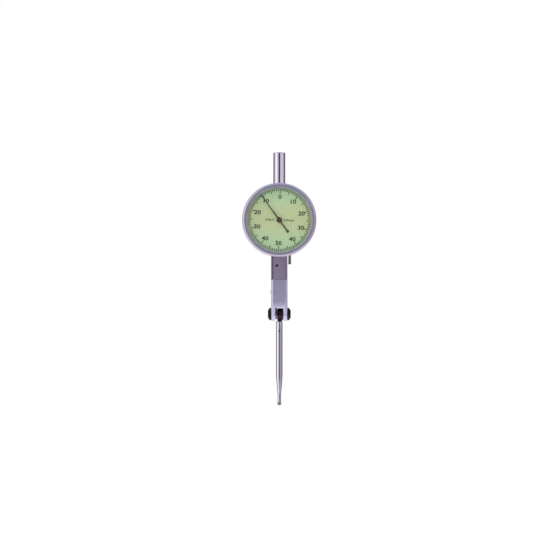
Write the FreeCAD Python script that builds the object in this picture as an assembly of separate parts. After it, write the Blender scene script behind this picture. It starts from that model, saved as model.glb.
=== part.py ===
"""Lever-type dial test indicator with a long stylus, in millimetres.

The stem points up (+Z) and the dial looks forward (-Y). The origin is on the stem's axis, where the
stem leaves the top of the bar. Inside the bar a measuring lever drives a toothed sector, the sector a
pinion with a crown wheel, and the crown wheel the pinion that carries the pointer.
"""

import math
import os

import FreeCAD
import Part

# ---- stem -------------------------------------------------------------------------------------
stem_diameter = 6.0
stem_length = 16.85
stem_edge = 0.35
stem_nub_diameter = 3.0
stem_nub_height = 0.5
holder_room = 0.9  # clear all round the stem for the holder's clamp
spigot_diameter = 4.0
spigot_length = 5.0

# ---- bar, rail and fork -----------------------------------------------------------------------
dial_drop = 17.0  # stem root down to the dial's centre
bar_width = 8.2
bar_front = 5.0  # stem axis forward to the bar's front face
bar_corner = 1.0
rail_end_drop = 29.9  # dial centre down to the lower end of the dovetail rail
rail_width = 6.0
rail_recess = 0.3  # the rail's face behind the bar's front face
rail_height = 0.9
rail_flank = 30.0  # degrees of undercut
channel_width = 4.2  # the fork's slot and the channel for the levers
channel_front_wall = 1.6
fork_slot_height = 3.2  # above the stylus pivot
fork_end_radius = 3.5
fork_taper = 6.2  # above the stylus pivot
fork_edge = 0.8

# ---- round case -------------------------------------------------------------------------------
case_flange_inset = 0.6  # the flange behind the bezel is this much smaller in radius
case_flange_thickness = 1.0
case_back_bevel = 3.3  # from the flange in to the flat back
case_back_step = 0.8
case_floor = 1.8  # floor of the cup, under the movement plate
case_rim_wall = 1.55
case_rim_height = 2.1
block_width = 14.8
block_height = 18.0
block_corner = 2.0
pocket_width = 5.2
pocket_height = 10.4
case_side_wall = 1.0
ledge_depth = 2.2

# ---- bezel, crystal and dial ------------------------------------------------------------------
bezel_radius = 18.5
bezel_edge = 0.95  # bevel round the bezel's front
bezel_face = 1.0  # flat ring between the bevel and the inner edge
bezel_bore_play = 0.05
bezel_wall = 1.5
bezel_lip_width = 0.55  # how far the lip covers the crystal's edge
bezel_lip = 0.5
bezel_lip_edge = 0.1
bezel_skirt_play = 0.15
glass_step = 0.25  # the crystal's seat is this much smaller than the bezel's bore
glass_thickness = 0.9
spacer_width = 0.7
spacer_height = 1.6
dial_thickness = 0.3
dial_hole_radius = 0.9
carrier_thickness = 0.25
carrier_width = 1.4
stack_play = 0.15
ring_thickness = 0.36  # of the flat spring ring that holds the bezel
ring_width = 0.4
ring_groove_play = 0.04
ring_gap_angle = 24.0

# ---- lever train ------------------------------------------------------------------------------
lever_arm = 19.2  # stylus pivot up to the drive pin
sector_short_arm = 6.8  # drive pin up to the sector's pivot
fine_module = 0.2
sector_circle_teeth = 200
pinion_teeth = 12
crown_module = 0.11
crown_teeth = 72
crown_face = 0.4
crown_room = 0.4  # round the crown wheel
tooth_share = 0.40  # of the pitch, at the pitch circle
sector_teeth_before = 2
sector_teeth_after = 4
plate_thickness = 0.7  # sector plate
crown_web = 0.3
sector_offset = 0.1  # from the middle plane to the sector plate
fork_prong = 0.6  # each side of the sector's slot

# ---- arbors, pins and bearings ----------------------------------------------------------------
running_play = 0.03
side_play = 0.06
pivot_pin_radius = 1.25
cheek_thickness = 0.9
cheek_radius = 2.6
lever_width = 1.5
washer_thickness = 0.12
washer_radius = 2.3
drive_pin_radius = 0.3
drive_pin_reach = 1.75  # past the middle plane
sector_arbor_radius = 0.5
crown_arbor_radius = 0.4
bearing_radius = 0.2
bearing_depth = 0.4
sector_screw_radius = 1.0
crown_screw_radius = 1.2
screw_slot_width = 0.3
screw_slot_depth = 0.3
centre_arbor_radius = 0.3
centre_pivot_radius = 0.15
centre_pinion_length = 1.0
jewel_wall = 0.55
jewel_thickness = 0.6

# ---- movement plate and centre cock -----------------------------------------------------------
movement_plate_thickness = 0.8
movement_plate_play = 0.2
plate_screw_inset = 2.8  # from the plate's edge
plate_screws = 3
small_screw_radius = 0.5
small_head_radius = 0.95
small_head_height = 0.45
cock_thickness = 0.6
cock_arm_height = 1.8
cock_tail = 0.9
cock_foot_edge = 0.8  # from a screw's axis to the end of the foot
cock_foot_play = 0.2
cock_screw_spacing = 3.8
cock_screw_length = 1.3

# ---- hairspring and pointer -------------------------------------------------------------------
hairspring_strip = 0.1
hairspring_width = 0.4
hairspring_turns = 4
hairspring_steps = 20  # straight steps in each turn
hairspring_outer = 4.6
hairspring_rise = 0.5  # in front of the movement plate
collet_radius = 0.85
collet_length = 0.7
stud_radius = 0.45
hand_thickness = 0.15
hand_rise = 0.8  # in front of the dial
hand_end_gap = 0.25  # between the hand's tip and the spacer ring
hand_root_width = 0.7
hand_tip_width = 0.22
hand_tail_length = 7.1
hand_tail_width = 0.62
hand_tail_disc = 0.68
hand_angle = 36.0  # degrees to the left of straight up, at rest
hand_boss_radius = 1.35
hand_boss_height = 0.5
hand_tube_radius = 0.6

# ---- rear cover and small screws --------------------------------------------------------------
cover_width = 6.0
cover_thickness = 0.8
cover_play = 0.05
cover_lower_end = 5.4  # above the stylus pivot
cover_upper_end = 9.2  # above the dial's centre
cover_screw_inset = 1.7
cover_screw_length = 2.2
bridge_height = 4.2  # solid behind the channel that carries the cover's lower screw
bridge_depth = 3.0
set_screw_radius = 0.65
set_screw_side = 1.2
set_screw_drop = 22.8
set_screw_length = 0.85
set_screw_sink = 0.45
stop_screw_above_pivot = 10.9
stop_screw_head_radius = 0.6
stop_screw_head_height = 0.3
stop_screw_radius = 0.4
stop_screw_length = 1.7

# ---- stylus and its hub -----------------------------------------------------------------------
hub_radius = 2.95
hub_boss_radius = 1.45
hub_boss_drop = 3.7
cap_radius = 3.15
cap_thickness = 1.65
cap_rim = 0.75
cap_face_radius = 1.9
cap_slot_width = 0.6
cap_slot_depth = 0.35
stylus_radius = 1.65
stylus_taper_start = 31.3  # below the pivot
stylus_neck_drop = 40.8
stylus_tip_radius = 0.87
ball_radius = 1.03
ball_drop = 45.0
stylus_hole_radius = 0.55
stylus_hole_drop = 8.6
stylus_thread_radius = 0.8
stylus_thread_length = 1.6

# ---- reversing clutch -------------------------------------------------------------------------
clutch_drop = 12.6  # below the dial's centre
clutch_rod_radius = 0.68
clutch_gap = 0.45  # between the bar's side and the rod
clutch_rod_length = 9.6
clutch_tip_length = 1.1
clutch_tip_radius = 0.74
clutch_hub_radius = 1.9
clutch_shaft_radius = 0.8
clutch_bush_radius = 1.35
cam_offset = 1.0
cam_pin_radius = 0.35
cam_disc_thickness = 0.35
cam_pin_length = 0.8
lever_wire_radius = 0.15
lever_wire_side = 1.45
lever_wire_anchor = 11.0  # above the stylus pivot

# ---- places worked out from the sizes above ---------------------------------------------------
dial_z = -dial_drop
crown_radius = crown_module * crown_teeth / 2
centre_pinion_radius = crown_module * pinion_teeth / 2
crown_outer = crown_radius + crown_face / 2
crown_inner = crown_radius - crown_face / 2
fine_pinion_radius = fine_module * pinion_teeth / 2
sector_radius = fine_module * sector_circle_teeth / 2
sector_z = dial_z - fine_pinion_radius - sector_radius
drive_pin_z = sector_z - sector_short_arm
pivot_z = drive_pin_z - lever_arm

bar_half = bar_width / 2
channel_half = channel_width / 2
channel_front = -(bar_front - channel_front_wall)
floor_y = -(crown_outer + crown_room)
ledge_y = floor_y + ledge_depth
cover_y = crown_outer + crown_room
bar_back = cover_y + cover_thickness
case_back_y = floor_y + case_floor
cock_foot_height = cock_screw_spacing + 2 * cock_foot_edge
ledge_height = cock_foot_height + 2 * cock_foot_play
bezel_bore = bezel_radius - bezel_wall
case_rim_radius = bezel_bore - bezel_bore_play
case_flange_radius = bezel_radius - case_flange_inset
glass_radius = bezel_bore - glass_step
movement_plate_radius = case_rim_radius - case_rim_wall - movement_plate_play
plate_screw_circle = movement_plate_radius - plate_screw_inset
hand_length = glass_radius - spacer_width - hand_end_gap
rim_y = floor_y - case_rim_height
flange_front_y = case_back_y - case_back_step - case_flange_thickness

carrier_y = rim_y - stack_play
dial_y = carrier_y - carrier_thickness
dial_face_y = dial_y - dial_thickness
glass_y = dial_face_y - spacer_height
lip_y = glass_y - glass_thickness
bezel_front_y = lip_y - bezel_lip
bezel_back_y = flange_front_y - bezel_skirt_play
plate_front_y = floor_y - movement_plate_thickness
ring_y = (rim_y + flange_front_y) / 2
ring_front_y = ring_y - ring_width / 2 - ring_groove_play
ring_back_y = ring_y + ring_width / 2 + ring_groove_play
ring_seat_radius = case_rim_radius - ring_thickness / 2

cheek_left = -channel_half + side_play
cheek_right = cheek_left + cheek_thickness
hub_left = cheek_right + washer_thickness + side_play / 2
hub_right = channel_half - side_play
lever_bore_radius = pivot_pin_radius + running_play
block_half = block_width / 2
pocket_half = pocket_width / 2

crown_plane = -centre_pinion_radius  # where crown teeth and centre pinion meet
crown_addendum = crown_module * 0.8
crown_dedendum = crown_module * 1.2
fine_addendum = fine_module * 0.8
fine_dedendum = fine_module * 1.1
sector_right = sector_offset + plate_thickness
clutch_z = dial_z - clutch_drop
rod_x = bar_half + clutch_gap + clutch_rod_radius
hand_y = dial_face_y - hand_rise

AXES = {
    "x": FreeCAD.Vector(1, 0, 0),
    "y": FreeCAD.Vector(0, 1, 0),
    "z": FreeCAD.Vector(0, 0, 1),
}


# ---- shape helpers ----------------------------------------------------------------------------
def vec(x, y, z):
    return FreeCAD.Vector(x, y, z)


def place(axis, u, v, along):
    """The point at (u, v) in the plane across an axis, at a distance along that axis."""
    if axis == "x":
        return vec(along, u, v)
    if axis == "y":
        return vec(u, along, v)
    return vec(u, v, along)


def rod(axis, u, v, radius, low, high):
    """A cylinder along an axis through (u, v), from low to high."""
    return Part.makeCylinder(radius, high - low, place(axis, u, v, low), AXES[axis])


def tube(axis, u, v, outer, inner, low, high):
    return rod(axis, u, v, outer, low, high).cut(rod(axis, u, v, inner, low - 1, high + 1))


def block(x, y, z):
    """A box from its (low, high) pair along each axis."""
    size = [high - low for low, high in (x, y, z)]
    return Part.makeBox(*size, vec(x[0], y[0], z[0]))


def outline_face(axis, outline, along):
    corners = [place(axis, u, v, along) for u, v in outline]
    return Part.Face(Part.makePolygon(corners + corners[:1]))


def prism(axis, outline, low, high):
    """A straight-sided solid: an outline of (u, v) points drawn out along an axis."""
    return outline_face(axis, outline, low).extrude(AXES[axis] * (high - low))


def turned(axis, u, v, profile):
    """A solid of revolution about an axis through (u, v), from (radius, distance along) points."""
    corners = [place(axis, u + radius, v, along) for radius, along in profile]
    face = Part.Face(Part.makePolygon(corners + corners[:1]))
    return face.revolve(place(axis, u, v, 0), AXES[axis], 360)


def rounded_block(x, y, z, radius):
    """A box with its four upright edges rounded."""
    body = block(x, y, z)
    upright = [e for e in body.Edges if abs(e.Vertexes[0].Z - e.Vertexes[1].Z) > 0.5 * (z[1] - z[0])]
    return body.makeFillet(radius, upright)


def fused(shapes):
    return shapes[0].multiFuse(shapes[1:]).removeSplitter()


def tooth_points(centre, pitch_angle, root, tip, pitch_radius):
    """Four (radius, angle) corners of one straight-flanked tooth."""
    half = pitch_angle * tooth_share / 2
    at_root = half * 1.25 * pitch_radius / root
    at_tip = half * 0.5 * pitch_radius / tip
    half_angles = [(root, -at_root), (tip, -at_tip), (tip, at_tip), (root, at_root)]
    return [(radius, centre + angle) for radius, angle in half_angles]


def gear(axis, u, v, teeth, module, addendum, dedendum, start, low, high):
    """A small spur pinion; start is the angle of its first tooth from the u direction."""
    pitch_radius = module * teeth / 2
    pitch_angle = 2 * math.pi / teeth
    outline = []
    for index in range(teeth):
        corners = tooth_points(
            start + index * pitch_angle,
            pitch_angle,
            pitch_radius - dedendum,
            pitch_radius + addendum,
            pitch_radius,
        )
        outline += [(u + r * math.cos(a), v + r * math.sin(a)) for r, a in corners]
    return prism(axis, outline, low, high)


def slotted_screw(axis, u, v, radius, low, high, slot_at_high):
    """A plain plug screw with a screwdriver slot across one end."""
    body = rod(axis, u, v, radius, low, high)
    end = high - screw_slot_depth if slot_at_high else low - 1
    reach = screw_slot_depth + 1
    half = screw_slot_width / 2
    wide = radius * 2
    outline = [(u - wide, v - half), (u + wide, v - half), (u + wide, v + half), (u - wide, v + half)]
    return body.cut(prism(axis, outline, end, end + reach))


# ---- body frame -------------------------------------------------------------------------------
def bar_side_outline():
    """The bar seen from the side: straight, then tapering to the round fork end."""
    taper_z = pivot_z + fork_taper
    return [
        (-bar_front, 0),
        (bar_back, 0),
        (bar_back, taper_z),
        (fork_end_radius, pivot_z),
        (-fork_end_radius, pivot_z),
        (-bar_front, taper_z),
    ]


def rail_cutters():
    """What is milled away beside and in front of the dovetail rail."""
    face_y = -(bar_front - rail_recess)
    root_y = face_y + rail_height
    half_face = rail_width / 2
    half_root = half_face - rail_height * math.tan(math.radians(rail_flank))
    low = dial_z - rail_end_drop
    high = dial_z - block_height / 2
    far = bar_width
    cutters = [block((-far, far), (-2 * bar_front, face_y), (low, high))]
    for side in (-1, 1):
        outline = [
            (side * half_face, face_y - 1),
            (side * half_face, face_y),
            (side * half_root, root_y),
            (side * far, root_y),
            (side * far, face_y - 1),
        ]
        cutters.append(prism("z", outline, low, high))
    return cutters


def bar():
    """The long bar with its fork and rail, before the inside is cut."""
    side = prism("x", bar_side_outline(), -bar_half, bar_half)
    side = side.fuse(rod("x", 0, pivot_z, fork_end_radius, -bar_half, bar_half)).removeSplitter()
    fork_top = pivot_z + fork_taper
    ears = [e for e in side.Edges if e.BoundBox.XLength < 0.01 and e.BoundBox.ZMax < fork_top + 0.01]
    low = pivot_z - fork_end_radius
    body = rounded_block((-bar_half, bar_half), (-bar_front, bar_back), (low, 0), bar_corner)
    body = body.common(side.makeFillet(fork_edge, ears))
    bezel_room = rod("y", 0, dial_z, bezel_radius + bezel_skirt_play, -2 * bar_front, flange_front_y)
    return body.cut(rail_cutters() + [bezel_room])


def round_case():
    """The shallow cup that carries the bezel, turned about the dial's axis."""
    profile = [
        (0, case_back_y),
        (case_flange_radius - case_back_bevel, case_back_y),
        (case_flange_radius, case_back_y - case_back_step),
        (case_flange_radius, flange_front_y),
        (case_rim_radius, flange_front_y),
        (case_rim_radius, ring_back_y),
        (ring_seat_radius, ring_back_y),
        (ring_seat_radius, ring_front_y),
        (case_rim_radius, ring_front_y),
        (case_rim_radius, rim_y),
        (case_rim_radius - case_rim_wall, rim_y),
        (case_rim_radius - case_rim_wall, floor_y),
        (0, floor_y),
    ]
    return turned("y", 0, dial_z, profile)


def channel():
    """The room for the levers, open to the fork's slot and closed at the back by the cover."""
    across = (-channel_half, channel_half)
    bridge_z = cover_bottom_z() + bridge_height
    slot_top = pivot_z + fork_slot_height
    reach = bar_back + 1
    return [
        block(across, (-2 * bar_front, 2 * bar_back), (pivot_z - 2 * fork_end_radius, slot_top)),
        block(across, (channel_front, bar_back - bridge_depth), (slot_top - 1, bridge_z + 1)),
        block(across, (channel_front, reach), (bridge_z, dial_z)),
        block((-pocket_half, pocket_half), (floor_y - 1, reach), about_dial(pocket_height)),
        block((0, block_half - case_side_wall), (floor_y - 1, ledge_y), about_dial(ledge_height)),
    ]


def about_dial(height):
    """The (low, high) heights of something centred on the dial's axis."""
    return (dial_z - height / 2, dial_z + height / 2)


def cover_bottom_z():
    return pivot_z + cover_lower_end


def cover_top_z():
    return dial_z + cover_upper_end


def cover_recess():
    half = cover_width / 2 + cover_play
    heights = (cover_bottom_z() - cover_play, cover_top_z() + cover_play)
    return block((-half, half), (cover_y, bar_back + 1), heights)


def body_bores():
    """Every round hole in the frame, each the size of what sits in it."""
    bores = [
        rod("z", 0, 0, spigot_diameter / 2, -spigot_length, 1),
        rod("x", 0, pivot_z, pivot_pin_radius, -bar_width, bar_width),
        rod("x", 0, sector_z, sector_screw_radius, -bar_width, bar_width),
        rod("x", 0, dial_z, crown_screw_radius, -block_width, block_width),
        rod("x", 0, clutch_z, clutch_bush_radius, 0, bar_width),
        rod("x", 0, stop_screw_z(), stop_screw_radius, -bar_width, -channel_half),
        rod("y", -set_screw_side, set_screw_z(), set_screw_radius, -2 * bar_front, channel_front + 1),
        rod("x", lever_wire_y(wire_anchor_z()), wire_anchor_z(), lever_wire_radius, 0, bar_half - 0.5),
    ]
    for x, z in plate_screw_places():
        bores.append(rod("y", x, z, small_screw_radius, floor_y - 1, floor_y + plate_screw_depth()))
    for x, z in cock_screw_places():
        bores.append(rod("y", x, z, small_screw_radius, ledge_y - 1, ledge_y + cock_screw_length))
    for z in cover_screw_heights():
        bores.append(rod("y", 0, z, small_screw_radius, cover_y - cover_screw_length, bar_back))
    return bores


def make_body_frame():
    head = rounded_block(
        (-block_half, block_half),
        (case_back_y - 0.5, bar_back),
        about_dial(block_height),
        block_corner,
    )
    body = fused([bar(), head, round_case()])
    holder = rod("z", 0, 0, stem_diameter / 2 + holder_room, 0, stem_length)
    return body.cut(channel() + [cover_recess(), holder]).cut(body_bores())


# ---- stem and rear cover ----------------------------------------------------------------------
def make_stem():
    radius = stem_diameter / 2
    nub = stem_nub_diameter / 2
    profile = [
        (0, -spigot_length),
        (spigot_diameter / 2, -spigot_length),
        (spigot_diameter / 2, 0),
        (radius, 0),
        (radius, stem_length),
        (radius - stem_edge, stem_length + stem_edge * 0.6),
        (nub, stem_length + stem_edge * 0.6),
        (nub * 0.75, stem_length + stem_nub_height),
        (0, stem_length + stem_nub_height),
    ]
    return turned("z", 0, 0, profile)


def cover_screw_heights():
    return (cover_bottom_z() + cover_screw_inset, cover_top_z() - cover_screw_inset)


def make_rear_cover():
    half = cover_width / 2
    body = block((-half, half), (cover_y, bar_back), (cover_bottom_z(), cover_top_z()))
    for z in cover_screw_heights():
        body = body.cut(rod("y", 0, z, small_screw_radius + running_play, cover_y - 1, bar_back + 1))
        seat = bar_back - small_head_height
        body = body.cut(rod("y", 0, z, small_head_radius + running_play, seat, bar_back + 1))
    return body


def headed_screw(x, z, head_front, tip, outwards):
    """A cheese-head screw along Y; outwards is +1 when the head faces +Y and -1 when it faces -Y."""
    under = head_front - outwards * small_head_height
    low, high = sorted((head_front, under))
    head = rod("y", x, z, small_head_radius, low, high)
    low, high = sorted((under, tip))
    shank = rod("y", x, z, small_screw_radius, low, high)
    half = screw_slot_width / 2
    cut_low, cut_high = sorted((head_front + outwards, head_front - outwards * screw_slot_depth * 0.8))
    reach = small_head_radius + 0.1
    slot = block((x - reach, x + reach), (cut_low, cut_high), (z - half, z + half))
    return head.fuse(shank).cut(slot).removeSplitter()


def make_rear_cover_screws():
    tip = cover_y - cover_screw_length
    return Part.makeCompound([headed_screw(0, z, bar_back, tip, 1) for z in cover_screw_heights()])


# ---- movement plate, cock and bearings --------------------------------------------------------
def plate_screw_depth():
    return case_floor - 0.4


def plate_screw_places():
    """(x, z) of the plate's screws, evenly round the dial's axis, the first at the top."""
    angles = [math.pi / 2 + 2 * math.pi * index / plate_screws for index in range(plate_screws)]
    return [(plate_screw_circle * math.cos(a), dial_z + plate_screw_circle * math.sin(a)) for a in angles]


def cock_screw_places():
    x = (pocket_half + block_half - case_side_wall) / 2
    return [(x, dial_z + side * cock_screw_spacing / 2) for side in (-1, 1)]


def stud_place():
    """(x, z) of the hairspring's stud, at the outer end of the spiral."""
    return (hairspring_outer + stud_radius, dial_z)


def make_movement_plate():
    body = rod("y", 0, dial_z, movement_plate_radius, plate_front_y, floor_y)
    jewel_radius = centre_arbor_radius + running_play + jewel_wall
    holes = [rod("y", 0, dial_z, jewel_radius, plate_front_y - 1, floor_y + 1)]
    for x, z in plate_screw_places():
        holes.append(rod("y", x, z, small_screw_radius + running_play, plate_front_y - 1, floor_y + 1))
    x, z = stud_place()
    holes.append(rod("y", x, z, stud_radius, plate_front_y - 1, floor_y - movement_plate_thickness / 2))
    return body.cut(holes)


def make_movement_plate_screws():
    head_front = plate_front_y - small_head_height
    tip = floor_y + plate_screw_depth()
    return Part.makeCompound([headed_screw(x, z, head_front, tip, -1) for x, z in plate_screw_places()])


def make_centre_cock():
    """A narrow arm behind the centre pinion, with a foot screwed to a ledge in the case."""
    right = block_half - case_side_wall - running_play
    foot_left = pocket_half + 0.1
    front = ledge_y - cock_thickness
    arm = block((-cock_tail, foot_left + 0.5), (front, ledge_y), about_dial(cock_arm_height))
    foot = block((foot_left, right), (front, ledge_y), about_dial(cock_foot_height))
    body = fused([arm, foot])
    holes = [rod("y", 0, dial_z, rear_jewel_radius(), front - 1, ledge_y + 1)]
    for x, z in cock_screw_places():
        holes.append(rod("y", x, z, small_screw_radius + running_play, front - 1, ledge_y + 1))
    return body.cut(holes)


def make_centre_cock_screws():
    head_front = ledge_y - cock_thickness - small_head_height
    tip = ledge_y + cock_screw_length
    return Part.makeCompound([headed_screw(x, z, head_front, tip, -1) for x, z in cock_screw_places()])


def rear_jewel_radius():
    return centre_pivot_radius + running_play + jewel_wall * 0.7


def make_front_jewel():
    hole = centre_arbor_radius + running_play
    return tube("y", 0, dial_z, hole + jewel_wall, hole, floor_y - jewel_thickness, floor_y)


def make_rear_jewel():
    hole = centre_pivot_radius + running_play
    return tube("y", 0, dial_z, rear_jewel_radius(), hole, ledge_y - cock_thickness, ledge_y)


def bearing_screw(side, inner, outer, z, radius):
    """A plug screw in a side wall, with a blind hole for an arbor's pivot; side is -1 or +1."""
    low, high = sorted((side * inner, side * outer))
    body = slotted_screw("x", 0, z, radius, low, high, side > 0)
    low, high = sorted((side * (inner - 1), side * (inner + bearing_depth + side_play)))
    return body.cut(rod("x", 0, z, bearing_radius + running_play, low, high))


def make_crown_bearing_screws():
    screws = [bearing_screw(s, pocket_half, block_half, dial_z, crown_screw_radius) for s in (-1, 1)]
    return Part.makeCompound(screws)


def make_sector_bearing_screws():
    screws = [bearing_screw(s, channel_half, bar_half, sector_z, sector_screw_radius) for s in (-1, 1)]
    return Part.makeCompound(screws)


# ---- stylus pivot -----------------------------------------------------------------------------
def make_pivot_pin():
    reach = bar_half + cap_thickness - cap_slot_depth
    return rod("x", 0, pivot_z, pivot_pin_radius, -reach, reach)


def make_pivot_cap(side):
    """A round black cap screwed on the pivot pin against the fork's ear; side is -1 or +1."""
    inner = bar_half
    profile = [
        (pivot_pin_radius, side * inner),
        (cap_radius, side * inner),
        (cap_radius, side * (inner + cap_rim)),
        (cap_face_radius, side * (inner + cap_thickness)),
        (pivot_pin_radius, side * (inner + cap_thickness)),
    ]
    body = turned("x", 0, pivot_z, profile)
    slot_bottom = inner + cap_thickness - cap_slot_depth
    low, high = sorted((side * slot_bottom, side * (slot_bottom + cap_thickness)))
    half = cap_slot_width / 2
    upright = (pivot_z - cap_radius, pivot_z + cap_radius)
    return body.cut(block((low, high), (-half, half), upright))


def make_measuring_lever():
    """A cheek on the pivot pin and a thin arm up the channel to the drive pin."""
    end_radius = lever_width / 2
    cheek = rod("x", 0, pivot_z, cheek_radius, cheek_left, cheek_right)
    root = cheek_radius * 0.75
    outline = [(-root, pivot_z), (root, pivot_z), (end_radius, drive_pin_z), (-end_radius, drive_pin_z)]
    arm = prism("x", outline, cheek_left, cheek_right)
    end = rod("x", 0, drive_pin_z, end_radius, cheek_left, cheek_right)
    body = fused([cheek, arm, end])
    holes = [
        rod("x", 0, pivot_z, lever_bore_radius, -bar_half, bar_half),
        rod("x", 0, drive_pin_z, drive_pin_radius, -bar_half, bar_half),
    ]
    return body.cut(holes)


def make_drive_pin():
    return rod("x", 0, drive_pin_z, drive_pin_radius, cheek_left, drive_pin_reach)


def make_friction_washer():
    right = cheek_right + washer_thickness
    return tube("x", 0, pivot_z, washer_radius, lever_bore_radius, cheek_right, right)


def make_stylus_hub():
    """The dark hub that grips the stylus and turns stiffly against the measuring lever."""
    boss_end = pivot_z - hub_boss_drop
    disc = rod("x", 0, pivot_z, hub_radius, hub_left, hub_right)
    boss = rod("z", 0, 0, hub_boss_radius, boss_end, pivot_z)
    side = block((hub_left, hub_right), (-hub_radius, hub_radius), (pivot_z - 2 * hub_boss_drop, pivot_z))
    body = fused([disc, boss.common(side)])
    holes = [
        rod("x", 0, pivot_z, lever_bore_radius, -bar_half, bar_half),
        rod("z", 0, 0, stylus_thread_radius, boss_end - 1, boss_end + stylus_thread_length),
    ]
    return body.cut(holes)


def make_stylus_shaft():
    """The polished shaft: straight, then a long taper, with a cross hole for a tommy bar."""
    top = pivot_z - hub_boss_drop
    neck = pivot_z - stylus_neck_drop
    ball_z = pivot_z - ball_drop
    tip = ball_z + math.sqrt(ball_radius**2 - stylus_tip_radius**2)
    profile = [
        (0, tip),
        (stylus_tip_radius, tip),
        (stylus_tip_radius, neck),
        (stylus_radius, pivot_z - stylus_taper_start),
        (stylus_radius, top - 0.2),
        (stylus_radius - 0.2, top),
        (stylus_thread_radius, top),
        (stylus_thread_radius, top + stylus_thread_length),
        (0, top + stylus_thread_length),
    ]
    body = turned("z", 0, 0, profile)
    reach = 2 * stylus_radius
    hole = rod("y", 0, pivot_z - stylus_hole_drop, stylus_hole_radius, -reach, reach)
    ball = Part.makeSphere(ball_radius, vec(0, 0, ball_z))
    return body.cut([hole, ball])


def make_ball_tip():
    return Part.makeSphere(ball_radius, vec(0, 0, pivot_z - ball_drop))


# ---- sector and crown wheel -------------------------------------------------------------------
def sector_rim_outline():
    """The toothed rim as (y, z) points, with angles measured from straight up towards +Y."""
    pitch = 2 * math.pi / sector_circle_teeth
    root = sector_radius - fine_dedendum
    tip = sector_radius + fine_addendum
    polar = []
    for index in range(-sector_teeth_before, sector_teeth_after + 1):
        polar += tooth_points(index * pitch, pitch, root, tip, sector_radius)
    first = -(sector_teeth_before + 0.6) * pitch
    last = (sector_teeth_after + 0.6) * pitch
    inner = sector_radius - 8 * fine_module
    polar = [(inner, first), (root, first)] + polar + [(root, last), (inner, last)]
    return [(r * math.sin(a), sector_z + r * math.cos(a)) for r, a in polar]


def make_sector_lever():
    """Toothed sector above its pivot and a slotted fork for the drive pin below."""
    low, high = sector_offset, sector_right
    hub_half = sector_arbor_radius * 2.4
    rim_z = sector_z + sector_radius - 7 * fine_module
    lean = (sector_teeth_after - sector_teeth_before) * fine_module * math.pi / 2
    upper = [(-hub_half, sector_z), (hub_half, sector_z), (lean + 0.9, rim_z), (lean - 0.9, rim_z)]
    slot_half = drive_pin_radius + running_play
    foot_z = drive_pin_z - 3 * drive_pin_radius
    foot_half = slot_half + fork_prong
    neck_half = hub_half * 0.8
    lower = [(-foot_half, foot_z), (foot_half, foot_z), (neck_half, sector_z), (-neck_half, sector_z)]
    body = fused([
        prism("x", sector_rim_outline(), low, high),
        prism("x", upper, low, high),
        prism("x", lower, low, high),
        rod("x", 0, sector_z, hub_half, low, high),
    ])
    slot_top = drive_pin_z + 3 * drive_pin_radius
    slot = block((low - 1, high + 1), (-slot_half, slot_half), (foot_z - 1, slot_top))
    return body.cut([slot, rod("x", 0, sector_z, sector_arbor_radius, low - 1, high + 1)])


def stepped_arbor(z, radius, half_span):
    """A shaft along X with a thin pivot at each end, turning between two bearing screws."""
    shoulder = half_span - side_play
    end = half_span + bearing_depth
    profile = [
        (0, -end),
        (bearing_radius, -end),
        (bearing_radius, -shoulder),
        (radius, -shoulder),
        (radius, shoulder),
        (bearing_radius, shoulder),
        (bearing_radius, end),
        (0, end),
    ]
    return turned("x", 0, z, profile)


def make_sector_arbor():
    return stepped_arbor(sector_z, sector_arbor_radius, channel_half)


def make_crown_arbor():
    """The arbor with its pinion, driven by the sector; a tooth gap faces straight down."""
    shaft = stepped_arbor(dial_z, crown_arbor_radius, pocket_half)
    start = math.radians(-90) + math.pi / pinion_teeth
    pinion = gear(
        "x", 0, dial_z, pinion_teeth, fine_module, fine_addendum, fine_dedendum, start,
        sector_offset - 0.15, sector_right + 0.15,
    )
    return fused([shaft, pinion])


def make_crown_wheel():
    """A thin disc with a ring of teeth standing along its axis."""
    root_x = crown_plane - crown_dedendum
    tip_x = crown_plane + crown_addendum
    back_x = root_x - crown_web
    profile = [
        (crown_arbor_radius, back_x),
        (crown_outer, back_x),
        (crown_outer, root_x),
        (crown_inner, root_x),
        (crown_inner - 0.2, back_x + crown_web * 0.6),
        (crown_arbor_radius + 0.5, back_x + crown_web * 0.6),
        (crown_arbor_radius + 0.5, tip_x),
        (crown_arbor_radius, tip_x),
    ]
    disc = turned("x", 0, dial_z, profile)
    pitch = 2 * math.pi * crown_radius / crown_teeth
    root_half = pitch * tooth_share * 0.62
    tip_half = pitch * tooth_share * 0.28
    sunk = root_x - crown_web / 3
    tooth = prism(
        "y",
        [(sunk, dial_z - root_half), (root_x, dial_z - root_half), (tip_x, dial_z - tip_half),
         (tip_x, dial_z + tip_half), (root_x, dial_z + root_half), (sunk, dial_z + root_half)],
        -crown_outer + 0.02,
        -crown_inner - 0.02,
    )
    teeth = []
    for index in range(crown_teeth):
        copy = tooth.copy()
        copy.rotate(vec(0, 0, dial_z), AXES["x"], 360.0 * index / crown_teeth)
        teeth.append(copy)
    return disc.multiFuse(teeth)


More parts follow.
